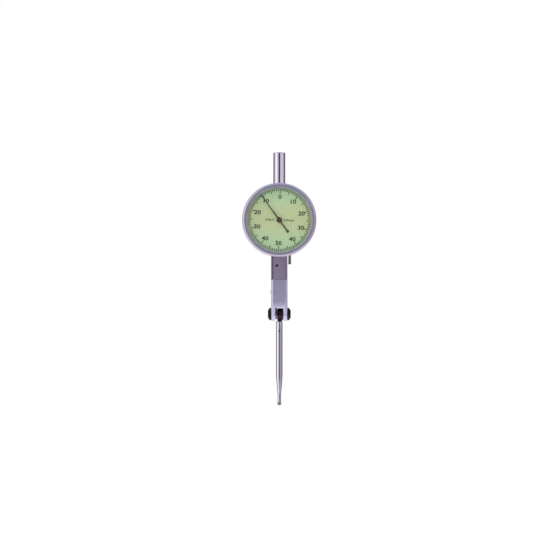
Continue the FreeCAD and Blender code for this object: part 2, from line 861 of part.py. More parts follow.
# ---- centre arbor, hairspring and pointer -----------------------------------------------------
def make_centre_arbor():
    """The pinion that the crown wheel drives, on the arbor that carries the pointer."""
    back = ledge_y - 0.05
    pinion_front = -crown_radius - centre_pinion_length / 2
    pinion_back = -crown_radius + centre_pinion_length / 2
    root = centre_pinion_radius - crown_dedendum
    profile = [
        (0, hand_y - hand_boss_height * 0.6),
        (centre_arbor_radius, hand_y - hand_boss_height * 0.6),
        (centre_arbor_radius, floor_y + side_play),
        (root * 0.98, floor_y + side_play),
        (root * 0.98, ledge_y - cock_thickness - side_play),
        (centre_pivot_radius, ledge_y - cock_thickness - side_play),
        (centre_pivot_radius, back),
        (0, back),
    ]
    shaft = turned("y", 0, dial_z, profile)
    start = math.pi + math.pi / pinion_teeth
    pinion = gear(
        "y", 0, dial_z, pinion_teeth, crown_module, crown_addendum, crown_dedendum, start,
        pinion_front, pinion_back,
    )
    return fused([shaft, pinion])


def hairspring_back():
    return plate_front_y - hairspring_rise


def make_hairspring_collet():
    front = hairspring_back() - hairspring_width / 2 - collet_length / 2
    return tube("y", 0, dial_z, collet_radius, centre_arbor_radius, front, front + collet_length)


def make_hairspring():
    """A flat spiral strip from the collet to the stud, in short straight steps."""
    samples = hairspring_steps * hairspring_turns
    growth = (hairspring_outer - collet_radius) / samples
    edges = []
    for side in (0, 1):
        start = collet_radius + side * hairspring_strip
        angles = [2 * math.pi * index / hairspring_steps for index in range(samples + 1)]
        radii = [start + growth * index for index in range(samples + 1)]
        edges.append([(r * math.cos(a), dial_z + r * math.sin(a)) for r, a in zip(radii, angles)])
    inner, outer = edges
    back = hairspring_back()
    return prism("y", inner + outer[::-1], back - hairspring_width, back)


def make_hairspring_stud():
    x, z = stud_place()
    front = hairspring_back() - hairspring_width - 0.15
    body = rod("y", x, z, stud_radius, front, floor_y - movement_plate_thickness / 2)
    reach = hairspring_strip + 0.15
    depth = (hairspring_back() - hairspring_width, hairspring_back())
    slot = block((x - stud_radius - 1, x - stud_radius + reach), depth, (z - 1, z + 1))
    return body.cut(slot)


def turn_to_rest(shape):
    """Turn the upright pointer to its place at rest, left of straight up."""
    shape.rotate(vec(0, 0, dial_z), AXES["y"], -hand_angle)
    return shape


def make_pointer_hand():
    tip = dial_z + hand_length
    tail = dial_z - hand_tail_length
    half_root = hand_root_width / 2
    half_tip = hand_tip_width / 2
    half_tail = hand_tail_width / 2
    back = hand_y
    front = hand_y - hand_thickness
    blade_outline = [(-half_root, dial_z), (half_root, dial_z), (half_tip, tip), (-half_tip, tip)]
    tail_outline = [(-half_tail, tail), (half_tail, tail), (half_tail, dial_z), (-half_tail, dial_z)]
    blade = prism("y", blade_outline, front, back)
    rest = prism("y", tail_outline, front, back)
    disc = rod("y", 0, tail, hand_tail_disc, front, back)
    hub = rod("y", 0, dial_z, hand_boss_radius - 0.2, front, back)
    body = fused([blade, rest, disc, hub]).cut(rod("y", 0, dial_z, hand_tube_radius, front - 1, back + 1))
    return turn_to_rest(body)


def make_pointer_boss():
    """The tube pressed on the arbor, with a shallow domed head in front of the hand."""
    front = hand_y - hand_thickness
    back = dial_face_y - 0.25
    profile = [
        (centre_arbor_radius, back),
        (hand_tube_radius, back),
        (hand_tube_radius, front),
        (hand_boss_radius, front),
        (hand_boss_radius, front - hand_boss_height * 0.5),
        (hand_boss_radius - 0.35, front - hand_boss_height),
        (centre_arbor_radius, front - hand_boss_height),
    ]
    return turned("y", 0, dial_z, profile)


# ---- bezel, crystal and dial ------------------------------------------------------------------
def make_bezel_ring():
    face_outer = bezel_radius - bezel_edge
    groove = ring_seat_radius + ring_thickness + ring_groove_play
    profile = [
        (bezel_bore, bezel_back_y),
        (bezel_radius - 0.25, bezel_back_y),
        (bezel_radius, bezel_back_y - 0.25),
        (bezel_radius, bezel_front_y + bezel_edge * 0.9),
        (bezel_radius - bezel_edge * 0.3, bezel_front_y + bezel_edge * 0.3),
        (face_outer, bezel_front_y),
        (face_outer - bezel_face, bezel_front_y),
        (glass_radius - bezel_lip_width, lip_y - bezel_lip_edge),
        (glass_radius - bezel_lip_width, lip_y),
        (glass_radius, lip_y),
        (glass_radius, carrier_y),
        (bezel_bore, carrier_y),
        (bezel_bore, ring_front_y),
        (groove, ring_front_y),
        (groove, ring_back_y),
        (bezel_bore, ring_back_y),
    ]
    return turned("y", 0, dial_z, profile)


def make_crystal():
    return rod("y", 0, dial_z, glass_radius, lip_y, glass_y)


def make_dial_spacer():
    """The ring between the dial and the crystal."""
    return tube("y", 0, dial_z, glass_radius, glass_radius - spacer_width, glass_y, dial_face_y)


def make_dial_plate():
    return tube("y", 0, dial_z, glass_radius, dial_hole_radius, dial_face_y, dial_y)


def make_dial_carrier():
    """The snap ring that keeps dial, spacer and crystal in the bezel."""
    return tube("y", 0, dial_z, glass_radius, glass_radius - carrier_width, dial_y, carrier_y)


def make_bezel_spring():
    """An open ring of flat strip, half in the case's groove and half in the bezel's."""
    inner = ring_seat_radius
    outer = inner + ring_thickness
    front, back = ring_y - ring_width / 2, ring_y + ring_width / 2
    corners = [(inner, front), (outer, front), (outer, back), (inner, back)]
    points = [vec(radius, y, dial_z) for radius, y in corners]
    section = Part.Face(Part.makePolygon(points + points[:1]))
    ring = section.revolve(vec(0, 0, dial_z), AXES["y"], 360 - ring_gap_angle)
    ring.rotate(vec(0, 0, dial_z), AXES["y"], 90)
    return ring


# ---- small screws in the bar ------------------------------------------------------------------
def make_set_screw():
    front = -(bar_front - rail_recess) + set_screw_sink
    back = front + set_screw_length
    return slotted_screw("y", -set_screw_side, set_screw_z(), set_screw_radius, front, back, False)


def set_screw_z():
    return dial_z - set_screw_drop


def stop_screw_z():
    return pivot_z + stop_screw_above_pivot


def make_stop_screw():
    z = stop_screw_z()
    head_x = -bar_half - stop_screw_head_height
    head = slotted_screw("x", 0, z, stop_screw_head_radius, head_x, -bar_half, False)
    return fused([head, rod("x", 0, z, stop_screw_radius, -bar_half, -bar_half + stop_screw_length)])


# ---- reversing clutch -------------------------------------------------------------------------
def make_clutch_bush():
    hole = clutch_shaft_radius + running_play
    return tube("x", 0, clutch_z, clutch_bush_radius, hole, channel_half, bar_half)


def make_clutch_shaft():
    """Shaft through the bar's side with a disc and an off-centre pin inside the channel."""
    disc_right = channel_half - side_play
    disc_left = disc_right - cam_disc_thickness
    shaft = rod("x", 0, clutch_z, clutch_shaft_radius, disc_left, rod_x + clutch_rod_radius)
    disc = rod("x", 0, clutch_z, cam_offset + cam_pin_radius, disc_left, disc_right)
    pin = rod("x", cam_offset, clutch_z, cam_pin_radius, disc_left - cam_pin_length, disc_left)
    return fused([shaft, disc, pin])


def make_clutch_lever():
    """A hub beside the bar with a round rod hanging from it, ending in a fatter tip."""
    left = rod_x - clutch_rod_radius
    right = rod_x + clutch_rod_radius
    end = clutch_z - clutch_rod_length
    hub = rod("x", 0, clutch_z, clutch_hub_radius, left, right)
    rod_part = rod("z", rod_x, 0, clutch_rod_radius, end + clutch_tip_length, clutch_z)
    tip_profile = [
        (0, end),
        (clutch_tip_radius * 0.7, end),
        (clutch_tip_radius, end + 0.25),
        (clutch_tip_radius, end + clutch_tip_length),
        (0, end + clutch_tip_length),
    ]
    tip = turned("z", rod_x, 0, tip_profile)
    return fused([hub, rod_part, tip]).cut(rod("x", 0, clutch_z, clutch_shaft_radius, left - 1, right + 1))


def wire_anchor_z():
    return pivot_z + lever_wire_anchor


def lever_wire_y(z):
    """Depth of the wire at a height: it leans from the drive pin to behind the clutch's cam pin."""
    at_pin = drive_pin_radius + lever_wire_radius + side_play / 2
    at_cam = cam_offset + cam_pin_radius + lever_wire_radius + side_play / 2
    return at_pin + (z - drive_pin_z) * (at_cam - at_pin) / (clutch_z - drive_pin_z)


def make_lever_spring():
    """The wire that presses on the drive pin, anchored in the bar's wall."""
    low_z = wire_anchor_z()
    high_z = clutch_z + cam_pin_radius * 2
    low = vec(lever_wire_side, lever_wire_y(low_z), low_z)
    high = vec(lever_wire_side, lever_wire_y(high_z), high_z)
    run = high - low
    straight = Part.makeCylinder(lever_wire_radius, run.Length, low, run)
    bend = Part.makeSphere(lever_wire_radius, low)
    foot = Part.makeCylinder(lever_wire_radius, bar_half - 0.5 - lever_wire_side, low, AXES["x"])
    return fused([straight, bend, foot])


# ---- all parts --------------------------------------------------------------------------------
def all_parts():
    return {
        "body_frame": make_body_frame(),
        "stem": make_stem(),
        "rear_cover": make_rear_cover(),
        "rear_cover_screws": make_rear_cover_screws(),
        "movement_plate": make_movement_plate(),
        "movement_plate_screws": make_movement_plate_screws(),
        "centre_cock": make_centre_cock(),
        "centre_cock_screws": make_centre_cock_screws(),
        "front_jewel": make_front_jewel(),
        "rear_jewel": make_rear_jewel(),
        "crown_bearing_screws": make_crown_bearing_screws(),
        "sector_bearing_screws": make_sector_bearing_screws(),
        "pivot_pin": make_pivot_pin(),
        "pivot_cap_left": make_pivot_cap(-1),
        "pivot_cap_right": make_pivot_cap(1),
        "measuring_lever": make_measuring_lever(),
        "drive_pin": make_drive_pin(),
        "friction_washer": make_friction_washer(),
        "stylus_hub": make_stylus_hub(),
        "stylus_shaft": make_stylus_shaft(),
        "ball_tip": make_ball_tip(),
        "sector_lever": make_sector_lever(),
        "sector_arbor": make_sector_arbor(),
        "crown_arbor": make_crown_arbor(),
        "crown_wheel": make_crown_wheel(),
        "centre_arbor": make_centre_arbor(),
        "hairspring": make_hairspring(),
        "hairspring_collet": make_hairspring_collet(),
        "hairspring_stud": make_hairspring_stud(),
        "pointer_hand": make_pointer_hand(),
        "pointer_boss": make_pointer_boss(),
        "bezel_ring": make_bezel_ring(),
        "crystal": make_crystal(),
        "dial_spacer": make_dial_spacer(),
        "dial_plate": make_dial_plate(),
        "dial_carrier": make_dial_carrier(),
        "bezel_spring": make_bezel_spring(),
        "set_screw": make_set_screw(),
        "stop_screw": make_stop_screw(),
        "clutch_bush": make_clutch_bush(),
        "clutch_shaft": make_clutch_shaft(),
        "clutch_lever": make_clutch_lever(),
        "lever_spring": make_lever_spring(),
    }


os.makedirs("parts", exist_ok=True)
for name, shape in all_parts().items():
    shape.exportStep(f"parts/{name}.step")
    print(name, len(shape.Solids), "valid" if shape.isValid() else "NOT VALID", round(shape.Volume, 3))
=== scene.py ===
"""Dresses a lever-type dial test indicator: finishes for its machined parts, the printed dial, the
turned pieces in full smoothness, a studio camera and soft lamps. Lengths in the classes are in
millimetres and become metres in one place, MM."""

import logging
import math
from dataclasses import dataclass, field
from enum import Enum
from typing import Any, Sequence

import bpy
import numpy as np
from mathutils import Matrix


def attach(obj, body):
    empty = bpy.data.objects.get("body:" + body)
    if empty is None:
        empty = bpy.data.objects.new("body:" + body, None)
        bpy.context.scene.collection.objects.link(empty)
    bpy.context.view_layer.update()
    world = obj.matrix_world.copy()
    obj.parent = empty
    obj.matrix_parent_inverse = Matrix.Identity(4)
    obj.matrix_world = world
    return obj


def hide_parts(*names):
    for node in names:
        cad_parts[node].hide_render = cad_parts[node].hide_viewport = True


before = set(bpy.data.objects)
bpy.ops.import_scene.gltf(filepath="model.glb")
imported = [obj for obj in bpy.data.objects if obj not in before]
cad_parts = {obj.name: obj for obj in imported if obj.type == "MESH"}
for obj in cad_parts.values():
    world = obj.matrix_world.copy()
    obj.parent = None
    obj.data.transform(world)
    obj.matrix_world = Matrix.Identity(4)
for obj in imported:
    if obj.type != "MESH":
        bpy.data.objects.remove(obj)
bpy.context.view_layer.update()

LOG = logging.getLogger("indicator")
MM = 0.001
MARKS_IN_TONE = 0.45  # how much of a metal's tone the tool marks give; the broad patches give the rest
POLISH_SPREAD = 0.15  # how far the tool marks change the roughness, as a share of it
NOUGHT_HEIGHT = 0.729  # of the built-in letters, at size 1


class Axis(Enum):
    """The direction a turned piece is turned about."""

    ALONG_X = 0
    ALONG_Y = 1
    ALONG_Z = 2


class Grain(Enum):
    """How the tool marks lie on a metal surface."""

    MATT = "matt"
    TURNED_ON_DIAL_AXIS = "turned on the dial's axis"
    ROUND_THE_STEM = "round the stem's axis"
    ROUND_THE_PIVOT = "round the pivot's axis"


# ---- colours, nodes and meshes ------------------------------------------------------------------
def linear(hex_colour: str, alpha: float = 1.0) -> tuple[float, float, float, float]:
    """Turns an sRGB hex colour into linear light.

    Args:
        hex_colour: the colour, such as "#a9b48a".
        alpha: the fourth number.

    Returns:
        Red, green, blue and alpha, each from 0 to 1.
    """
    digits = hex_colour.lstrip("#")
    values = [int(digits[i : i + 2], 16) / 255 for i in (0, 2, 4)]
    red, green, blue = [v / 12.92 if v <= 0.04045 else ((v + 0.055) / 1.055) ** 2.4 for v in values]
    return (red, green, blue, alpha)


def add_node(tree: Any, kind: str, inputs: dict[Any, Any] | None = None, **settings: Any) -> Any:
    """Adds one shader node.

    Args:
        tree: the node tree.
        kind: the node's type name.
        inputs: for each input's name or number, a value or the output socket that feeds it.
        settings: the node's own properties.

    Returns:
        The new node.
    """
    node = tree.nodes.new(kind)
    for name, value in settings.items():
        setattr(node, name, value)
    for key, value in (inputs or {}).items():
        if isinstance(value, bpy.types.NodeSocket):
            tree.links.new(value, node.inputs[key])
        else:
            node.inputs[key].default_value = value
    return node


def principled(name: str, inputs: dict[str, Any]) -> tuple[Any, Any, Any, Any]:
    """Starts a material that has its own shader and reads the object's coordinates.

    Args:
        name: the finish's name.
        inputs: the numbers and colours that are the same all over, set on the shader's own sockets.

    Returns:
        The material, its node tree, its shader and its texture coordinate node.
    """
    made = bpy.data.materials.new(name)
    made.use_nodes = True
    shader = made.node_tree.nodes["Principled BSDF"]
    for key, value in inputs.items():
        shader.inputs[key].default_value = value
    return made, made.node_tree, shader, add_node(made.node_tree, "ShaderNodeTexCoord")


def mesh_object(name: str, verts: np.ndarray, faces: Sequence[Sequence[int]], sharp: float) -> Any:
    """Makes an object at the origin from points in metres.

    Args:
        name: the piece's name.
        verts: points, one a row.
        faces: the corner numbers of each face, seen from outside.
        sharp: edges that turn more than this many degrees stay crisp.

    Returns:
        The new object, linked to the scene.
    """
    mesh = bpy.data.meshes.new(name)
    mesh.from_pydata(np.asarray(verts, float).tolist(), [], [list(map(int, f)) for f in faces])
    mesh.update()
    mesh.shade_smooth()
    mesh.set_sharp_from_angle(angle=math.radians(sharp))
    made = bpy.data.objects.new(name, mesh)
    bpy.context.scene.collection.objects.link(made)
    return made


def eased(profile: Sequence[tuple[float, float, float]], steps: int = 5) -> np.ndarray:
    """Rounds the corners of an open profile.

    Each corner with a radius becomes a curve between the two points at that distance along its
    sides: (1 - t)^2 of the first, 2t(1 - t) of the corner and t^2 of the second.

    Args:
        profile: (radius, distance along the axis, corner rounding) for each corner.
        steps: how many spans each rounding has.

    Returns:
        (radius, distance along) rows.
    """
    points = np.array([p[:2] for p in profile], float)
    rows = [points[:1]]
    t = np.linspace(0, 1, steps + 1)[:, None]
    for before, corner, after, (_, _, size) in zip(points, points[1:], points[2:], profile[1:]):
        if size <= 0:
            rows.append(corner[None])
            continue
        first = corner + (before - corner) * size / np.linalg.norm(before - corner)
        second = corner + (after - corner) * size / np.linalg.norm(after - corner)
        rows.append((1 - t) ** 2 * first + 2 * t * (1 - t) * corner + t**2 * second)
    rows.append(points[-1:])
    return np.concatenate(rows)


@dataclass(frozen=True)
class Knurl:
    """A coin edge on a turned wall: straight grooves between two distances along the axis, in mm."""

    teeth: int
    depth: float
    low: float
    high: float
    runout: float = 0.35

    def cut(self, along: np.ndarray, turn: np.ndarray) -> np.ndarray:
        """How deep the grooves are.

        It is the depth, times half of 1 - cos(teeth x angle), times a ramp that rises from 0 to 1
        over the run-out at each end of the band.

        Args:
            along: distances along the axis, one a row.
            turn: angles round the axis, one a column.

        Returns:
            The cut in mm, a row for each distance and a column for each angle.
        """
        ramp = np.clip(np.minimum(along - self.low, self.high - along) / self.runout, 0, 1)
        wave = (1 - np.cos(self.teeth * turn)) / 2
        return self.depth * (ramp * ramp * (3 - 2 * ramp))[:, None] * wave[None, :]


def turned_piece(
    name: str,
    profile: np.ndarray,
    axis: Axis,
    centre: Sequence[float] = (0.0, 0.0, 0.0),
    segments: int = 160,
    sharp: float = 30.0,
    closed: bool = False,
    knurl: Knurl | None = None,
) -> Any:
    """Carries a profile round an axis.

    The point of row (r, a) at angle t is centre + a along the axis + r cos t and r sin t along the
    two directions across it. A row of radius 0 is one point, the pole, with a fan of triangles.

    Args:
        name: the piece's name.
        profile: (radius, distance along) rows in mm.
        axis: the axis it is turned about.
        centre: a point of the axis in mm; its own place along the axis isn't used.
        segments: how many steps make a full turn.
        sharp: edges that turn more than this many degrees stay crisp.
        closed: whether the last row joins the first, as on a ring.
        knurl: grooves cut into the wall, which only rows inside their band get.

    Returns:
        The new object.
    """
    rows = np.asarray(profile, float)
    first_pole, last_pole = rows[0, 0] < 1e-9, rows[-1, 0] < 1e-9
    body = rows[int(first_pole) : len(rows) - int(last_pole)]
    t = np.arange(segments) * 2 * np.pi / segments
    radius = np.repeat(body[:, :1], segments, 1)
    if knurl:
        outer = body[:, 0] > body[:, 0].max() - 1e-6
        radius = radius - knurl.cut(body[:, 1], t) * outer[:, None]
    along = axis.value
    across = [(1, 2), (2, 0), (0, 1)][along]
    grid = np.zeros((len(body), segments, 3))
    grid[..., along] = body[:, 1:2]
    grid[..., across[0]] = radius * np.cos(t)
    grid[..., across[1]] = radius * np.sin(t)
    count = len(body)
    i = np.arange(count if closed else count - 1)[:, None]
    j = np.arange(segments)[None, :]
    nxt, right = (i + 1) % count, (j + 1) % segments
    corners = [i * segments + j, nxt * segments + j, nxt * segments + right, i * segments + right]
    faces = np.stack(np.broadcast_arrays(*corners), -1).reshape(-1, 4).tolist()
    verts = grid.reshape(-1, 3)
    ring = np.arange(segments)
    for is_pole, row, start, step in ((first_pole, 0, 0, 1), (last_pole, -1, (count - 1) * segments, -1)):
        if is_pole:
            tip = np.zeros((1, 3))
            tip[0, along] = rows[row, 1]
            pole = np.full(segments, len(verts))
            verts = np.vstack([verts, tip])
            fan = np.stack([pole, start + ring, start + (ring + 1) % segments], -1)[:, ::step]
            faces += fan.tolist()
    if enclosed_volume(verts, faces) < 0:
        faces = [face[::-1] for face in faces]
    shift = np.where(np.arange(3) == along, 0.0, np.asarray(centre, float))
    return mesh_object(name, (verts + shift) * MM, faces, sharp)


def enclosed_volume(verts: np.ndarray, faces: Sequence[Sequence[int]]) -> float:
    """The volume inside a closed shell, negative if its faces point inwards.

    It is a sixth of the sum of a . (b x c) over the triangles a, b, c that fan out each face.
    """
    corners = np.array([(f[0], f[k], f[k + 1]) for f in faces for k in range(1, len(f) - 1)])
    a, b, c = (verts[corners[:, k]] for k in range(3))
    return float(np.einsum("ij,ij->", a, np.cross(b, c)) / 6)


def smoothed(node: str, name: str, body: str, sharp: float = 32.0) -> Any:
    """Stands a smooth-shaded piece in for a machined part that has the right shape.

    Corners at the same place become one corner, so that the light runs over a round face without
    facets, and edges that turn more than the given angle stay crisp.

    Args:
        node: the machined part.
        name: the piece's name.
        body: the body it rides on.
        sharp: the angle in degrees.

    Returns:
        The piece.
    """
    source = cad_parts[node].data
    verts = np.zeros(len(source.vertices) * 3, np.float32)
    source.vertices.foreach_get("co", verts)
    corners = np.zeros(len(source.loops), np.int32)
    source.loops.foreach_get("vertex_index", corners)
    places = np.round(verts.reshape(-1, 3).astype(float) / 1e-8).astype(np.int64)
    _, first, merged = np.unique(places, axis=0, return_index=True, return_inverse=True)
    faces = merged.reshape(-1)[corners].reshape(-1, 3)
    whole = (faces[:, 0] != faces[:, 1]) & (faces[:, 1] != faces[:, 2]) & (faces[:, 2] != faces[:, 0])
    made = mesh_object(name, verts.reshape(-1, 3)[first], faces[whole].tolist(), sharp)
    even = made.modifiers.new("even_shading", "WEIGHTED_NORMAL")
    even.keep_sharp = True
    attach(made, body)
    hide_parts(node)
    return made


def pierced(made: Any, cutter: Any, sharp: float = 30.0) -> None:
    """Cuts one closed piece out of another and drops the cutter.

    Args:
        made: the piece that is cut.
        cutter: the closed shape that is taken out of it.
        sharp: edges that turn more than this many degrees stay crisp.
    """
    cut = made.modifiers.new("cut", "BOOLEAN")
    cut.operation, cut.object, cut.solver = "DIFFERENCE", cutter, "EXACT"
    bpy.context.view_layer.update()
    done = bpy.data.meshes.new_from_object(made.evaluated_get(bpy.context.evaluated_depsgraph_get()))
    made.modifiers.clear()
    done.name = made.name
    made.data = done
    bpy.data.objects.remove(cutter)
    done.shade_smooth()
    done.set_sharp_from_angle(angle=math.radians(sharp))


def plates(name: str, outlines: np.ndarray, low_y: float, high_y: float) -> Any:
    """Raises four-cornered outlines into thin plates that face the dial's front.

    Args:
        name: the piece's name.
        outlines: (count, 4, 2) corners as (x, z) in mm, counter-clockwise seen from the front.
        low_y: the front of the plates in mm.
        high_y: the back of the plates in mm.

    Returns:
        The new object.
    """
    count = len(outlines)
    verts = np.zeros((count, 2, 4, 3))
    verts[..., 0] = outlines[:, None, :, 0]
    verts[..., 2] = outlines[:, None, :, 1]
    verts[:, 0, :, 1], verts[:, 1, :, 1] = low_y, high_y
    box = np.array([[0, 1, 2, 3], [7, 6, 5, 4], [0, 4, 5, 1], [1, 5, 6, 2], [2, 6, 7, 3], [3, 7, 4, 0]])
    faces = (np.arange(count)[:, None, None] * 8 + box).reshape(-1, 4)
    return mesh_object(name, verts.reshape(-1, 3) * MM, faces.tolist(), 30.0)


# ---- finishes -----------------------------------------------------------------------------------
@dataclass(frozen=True)
class MetalFinish:
    """A metal surface: its colour, how it was machined, and how far that shows.

    grain_mm is the spacing of the tool marks, drawn as coarse as it has to be to show; patch_mm
    is the size of the broad patches in which the tone drifts.
    """

    name: str
    colour: str
    shade: str
    roughness: float
    grain: Grain
    grain_mm: float
    bump_mm: float
    patch_mm: float = 6.0
    metallic: float = 1.0

    def material(self, axis_point: Sequence[float] = (0.0, 0.0, 0.0)) -> Any:
        """Builds the node material.

        Args:
            axis_point: a point of the axis the marks run round, in mm.

        Returns:
            The material.
        """
        made, tree, shader, spot = principled(self.name, {"Metallic": self.metallic})
        centred = add_node(
            tree,
            "ShaderNodeMapping",
            {"Vector": spot.outputs["Object"], "Location": [-v * MM for v in axis_point]},
        )
        marks = self.marks(tree, centred.outputs["Vector"])
        patches = add_node(
            tree,
            "ShaderNodeTexNoise",
            {"Vector": centred.outputs["Vector"], "Scale": 1 / (self.patch_mm * MM), "Detail": 2.0},
        )
        blend = add_node(tree, "ShaderNodeMath", {0: marks, 1: MARKS_IN_TONE}, operation="MULTIPLY")
        blend = add_node(
            tree,
            "ShaderNodeMath",
            {0: patches.outputs["Fac"], 1: 1 - MARKS_IN_TONE, 2: blend.outputs[0]},
            operation="MULTIPLY_ADD",
        )
        tone = add_node(
            tree,
            "ShaderNodeMix",
            {"Factor": blend.outputs[0], "A": linear(self.shade), "B": linear(self.colour)},
            data_type="RGBA",
        )
        tree.links.new(self.over_tone(tree, spot, tone.outputs["Result"]), shader.inputs["Base Color"])
        polish = add_node(
            tree,
            "ShaderNodeMapRange",
            {
                "Value": marks,
                "From Min": 0.3,
                "From Max": 0.7,
                "To Min": self.roughness * (1 - POLISH_SPREAD),
                "To Max": self.roughness * (1 + POLISH_SPREAD),
            },
        )
        tree.links.new(polish.outputs["Result"], shader.inputs["Roughness"])
        bump = add_node(
            tree, "ShaderNodeBump", {"Height": marks, "Distance": self.bump_mm * MM, "Strength": 0.5},
        )
        tree.links.new(bump.outputs["Normal"], shader.inputs["Normal"])
        return made

    def over_tone(self, tree: Any, spot: Any, tone: Any) -> Any:
        """What lies over the plain tone; nothing on most metals.

        Args:
            tree: the node tree.
            spot: the texture coordinate node.
            tone: the socket with the plain colour.

        Returns:
            The socket with the final colour.
        """
        return tone

    def marks(self, tree: Any, place: Any) -> Any:
        """The tool marks as a height from 0 to 1.

        A matt surface has noise that is the same all ways. Turned marks are noise that changes
        fast with the radius and the distance along the axis, and slowly round it.

        Args:
            tree: the node tree.
            place: the socket with the point, centred on the axis.

        Returns:
            The output socket of the height.
        """
        scale = 1 / (self.grain_mm * MM)
        if self.grain is Grain.MATT:
            noise = add_node(tree, "ShaderNodeTexNoise", {"Vector": place, "Scale": scale, "Detail": 3.0})
            return noise.outputs["Fac"]
        split = add_node(tree, "ShaderNodeSeparateXYZ", {"Vector": place})
        along, first, second = {
            Grain.TURNED_ON_DIAL_AXIS: ("Y", "X", "Z"),
            Grain.ROUND_THE_STEM: ("Z", "X", "Y"),
            Grain.ROUND_THE_PIVOT: ("X", "Y", "Z"),
        }[self.grain]
        flat = add_node(
            tree, "ShaderNodeCombineXYZ", {"X": split.outputs[first], "Y": split.outputs[second]},
        )
        radius = add_node(tree, "ShaderNodeVectorMath", {0: flat.outputs[0]}, operation="LENGTH")
        rings = add_node(
            tree, "ShaderNodeCombineXYZ", {"X": radius.outputs["Value"], "Y": split.outputs[along]},
        )
        noise = add_node(
            tree, "ShaderNodeTexNoise", {"Vector": rings.outputs[0], "Scale": scale, "Detail": 2.0},
        )
        return noise.outputs["Fac"]


@dataclass(frozen=True)
class BarFinish(MetalFinish):
    """Satin chrome over brass, blasted before plating: a soft sheen with a fine, even matt grain.

    The band of the dovetail rail is a darker tone, and the strip at its left is darker still: painted shade
    of the dovetail's undercut.
    Sizes are in mm.
    """

    name: str = "satin_chrome_plate"
    colour: str = "#d6d5f0"
    shade: str = "#c8c3e0"
    roughness: float = 0.42
    grain: Grain = Grain.MATT
    grain_mm: float = 0.45
    bump_mm: float = 0.004
    patch_mm: float = 6.0
    rail_colour: str = "#bdb2cc"
    # painted shade: the strip left of the rail, darkened for the shadow of the dovetail's undercut
    strip_colour: str = "#9a8ca4"
    rail_low: float = -46.9
    rail_high: float = -26.0
    rail_half: float = 3.02
    front_limit: float = -3.6

    def over_tone(self, tree: Any, spot: Any, tone: Any) -> Any:
        """Lays the rail's darker tone, and the painted shade of the strip at its left, over the plain tone.

        Args:
            tree: the node tree.
            spot: the texture coordinate node.
            tone: the socket with the plain colour.

        Returns:
            The socket with the final colour.
        """
        split = add_node(tree, "ShaderNodeSeparateXYZ", {"Vector": spot.outputs["Object"]})
        low, high, front, strip = (
            add_node(
                tree, "ShaderNodeMath", {0: split.outputs[axis], 1: limit * MM}, operation=test
            ).outputs[0]
            for axis, limit, test in (
                ("Z", self.rail_low, "GREATER_THAN"),
                ("Z", self.rail_high, "LESS_THAN"),
                ("Y", self.front_limit, "LESS_THAN"),
                ("X", -self.rail_half, "LESS_THAN"),
            )
        )
        band = add_node(tree, "ShaderNodeMath", {0: low, 1: high}, operation="MULTIPLY")
        band = add_node(tree, "ShaderNodeMath", {0: band.outputs[0], 1: front}, operation="MULTIPLY")
        # the strip left of the rail gets painted shade, the rest of the rail's band its darker tone
        rail_tone_and_strip_shade = add_node(
            tree,
            "ShaderNodeMix",
            {"Factor": strip, "A": linear(self.rail_colour), "B": linear(self.strip_colour)},
            data_type="RGBA",
        )
        return add_node(
            tree,
            "ShaderNodeMix",
            {"Factor": band.outputs[0], "A": tone, "B": rail_tone_and_strip_shade.outputs["Result"]},
            data_type="RGBA",
        ).outputs["Result"]


@dataclass(frozen=True)
class DialEnamel:
    """Stove enamel on the dial: smooth, nearly matt, a little greener at the top and the bottom."""

    name: str = "stove_enamel_dial"
    middle: str = "#b0bc8c"
    ends: str = "#a6c49a"
    speck: str = "#a7b285"
    roughness: float = 0.5
    speck_mm: float = 0.5

    def material(self, centre: Sequence[float], radius: float) -> Any:
        """Builds the node material.

        Args:
            centre: the dial's centre in mm.
            radius: the dial's visible radius in mm.

        Returns:
            The material.
        """
        made, tree, shader, spot = principled(self.name, {"Roughness": self.roughness})
        centred = add_node(
            tree,
            "ShaderNodeMapping",
            {"Vector": spot.outputs["Object"], "Location": [-v * MM for v in centre]},
        )
        split = add_node(tree, "ShaderNodeSeparateXYZ", {"Vector": centred.outputs["Vector"]})
        height = add_node(tree, "ShaderNodeMath", {0: split.outputs["Z"]}, operation="ABSOLUTE")
        drift = add_node(
            tree,
            "ShaderNodeTexNoise",
            {"Vector": centred.outputs["Vector"], "Scale": 1 / (radius * MM), "Detail": 1.0},
        )
        wander = add_node(
            tree,
            "ShaderNodeMath",
            {0: drift.outputs["Fac"], 1: radius * MM * 0.7, 2: height.outputs[0]},
            operation="MULTIPLY_ADD",
        )
        greener = add_node(
            tree,
            "ShaderNodeMapRange",
            {"Value": wander.outputs[0], "From Min": radius * MM * 0.5, "From Max": radius * MM * 1.25},
            interpolation_type="SMOOTHSTEP",
        )
        base = add_node(
            tree,
            "ShaderNodeMix",
            {"Factor": greener.outputs["Result"], "A": linear(self.middle), "B": linear(self.ends)},
            data_type="RGBA",
        )
        specks = add_node(
            tree,
            "ShaderNodeTexNoise",
            {"Vector": centred.outputs["Vector"], "Scale": 1 / (self.speck_mm * MM), "Detail": 2.0},
        )
        faint = add_node(
            tree,
            "ShaderNodeMapRange",
            {"Value": specks.outputs["Fac"], "From Min": 0.5, "From Max": 0.8, "To Max": 0.35},
        )
        tone = add_node(
            tree,
            "ShaderNodeMix",
            {"Factor": faint.outputs["Result"], "A": base.outputs["Result"], "B": linear(self.speck)},
            data_type="RGBA",
        )
        tree.links.new(tone.outputs["Result"], shader.inputs["Base Color"])
        bump = add_node(
            tree,
            "ShaderNodeBump",
            {"Height": specks.outputs["Fac"], "Distance": 0.004 * MM, "Strength": 0.4},
        )
        tree.links.new(bump.outputs["Normal"], shader.inputs["Normal"])
        return made


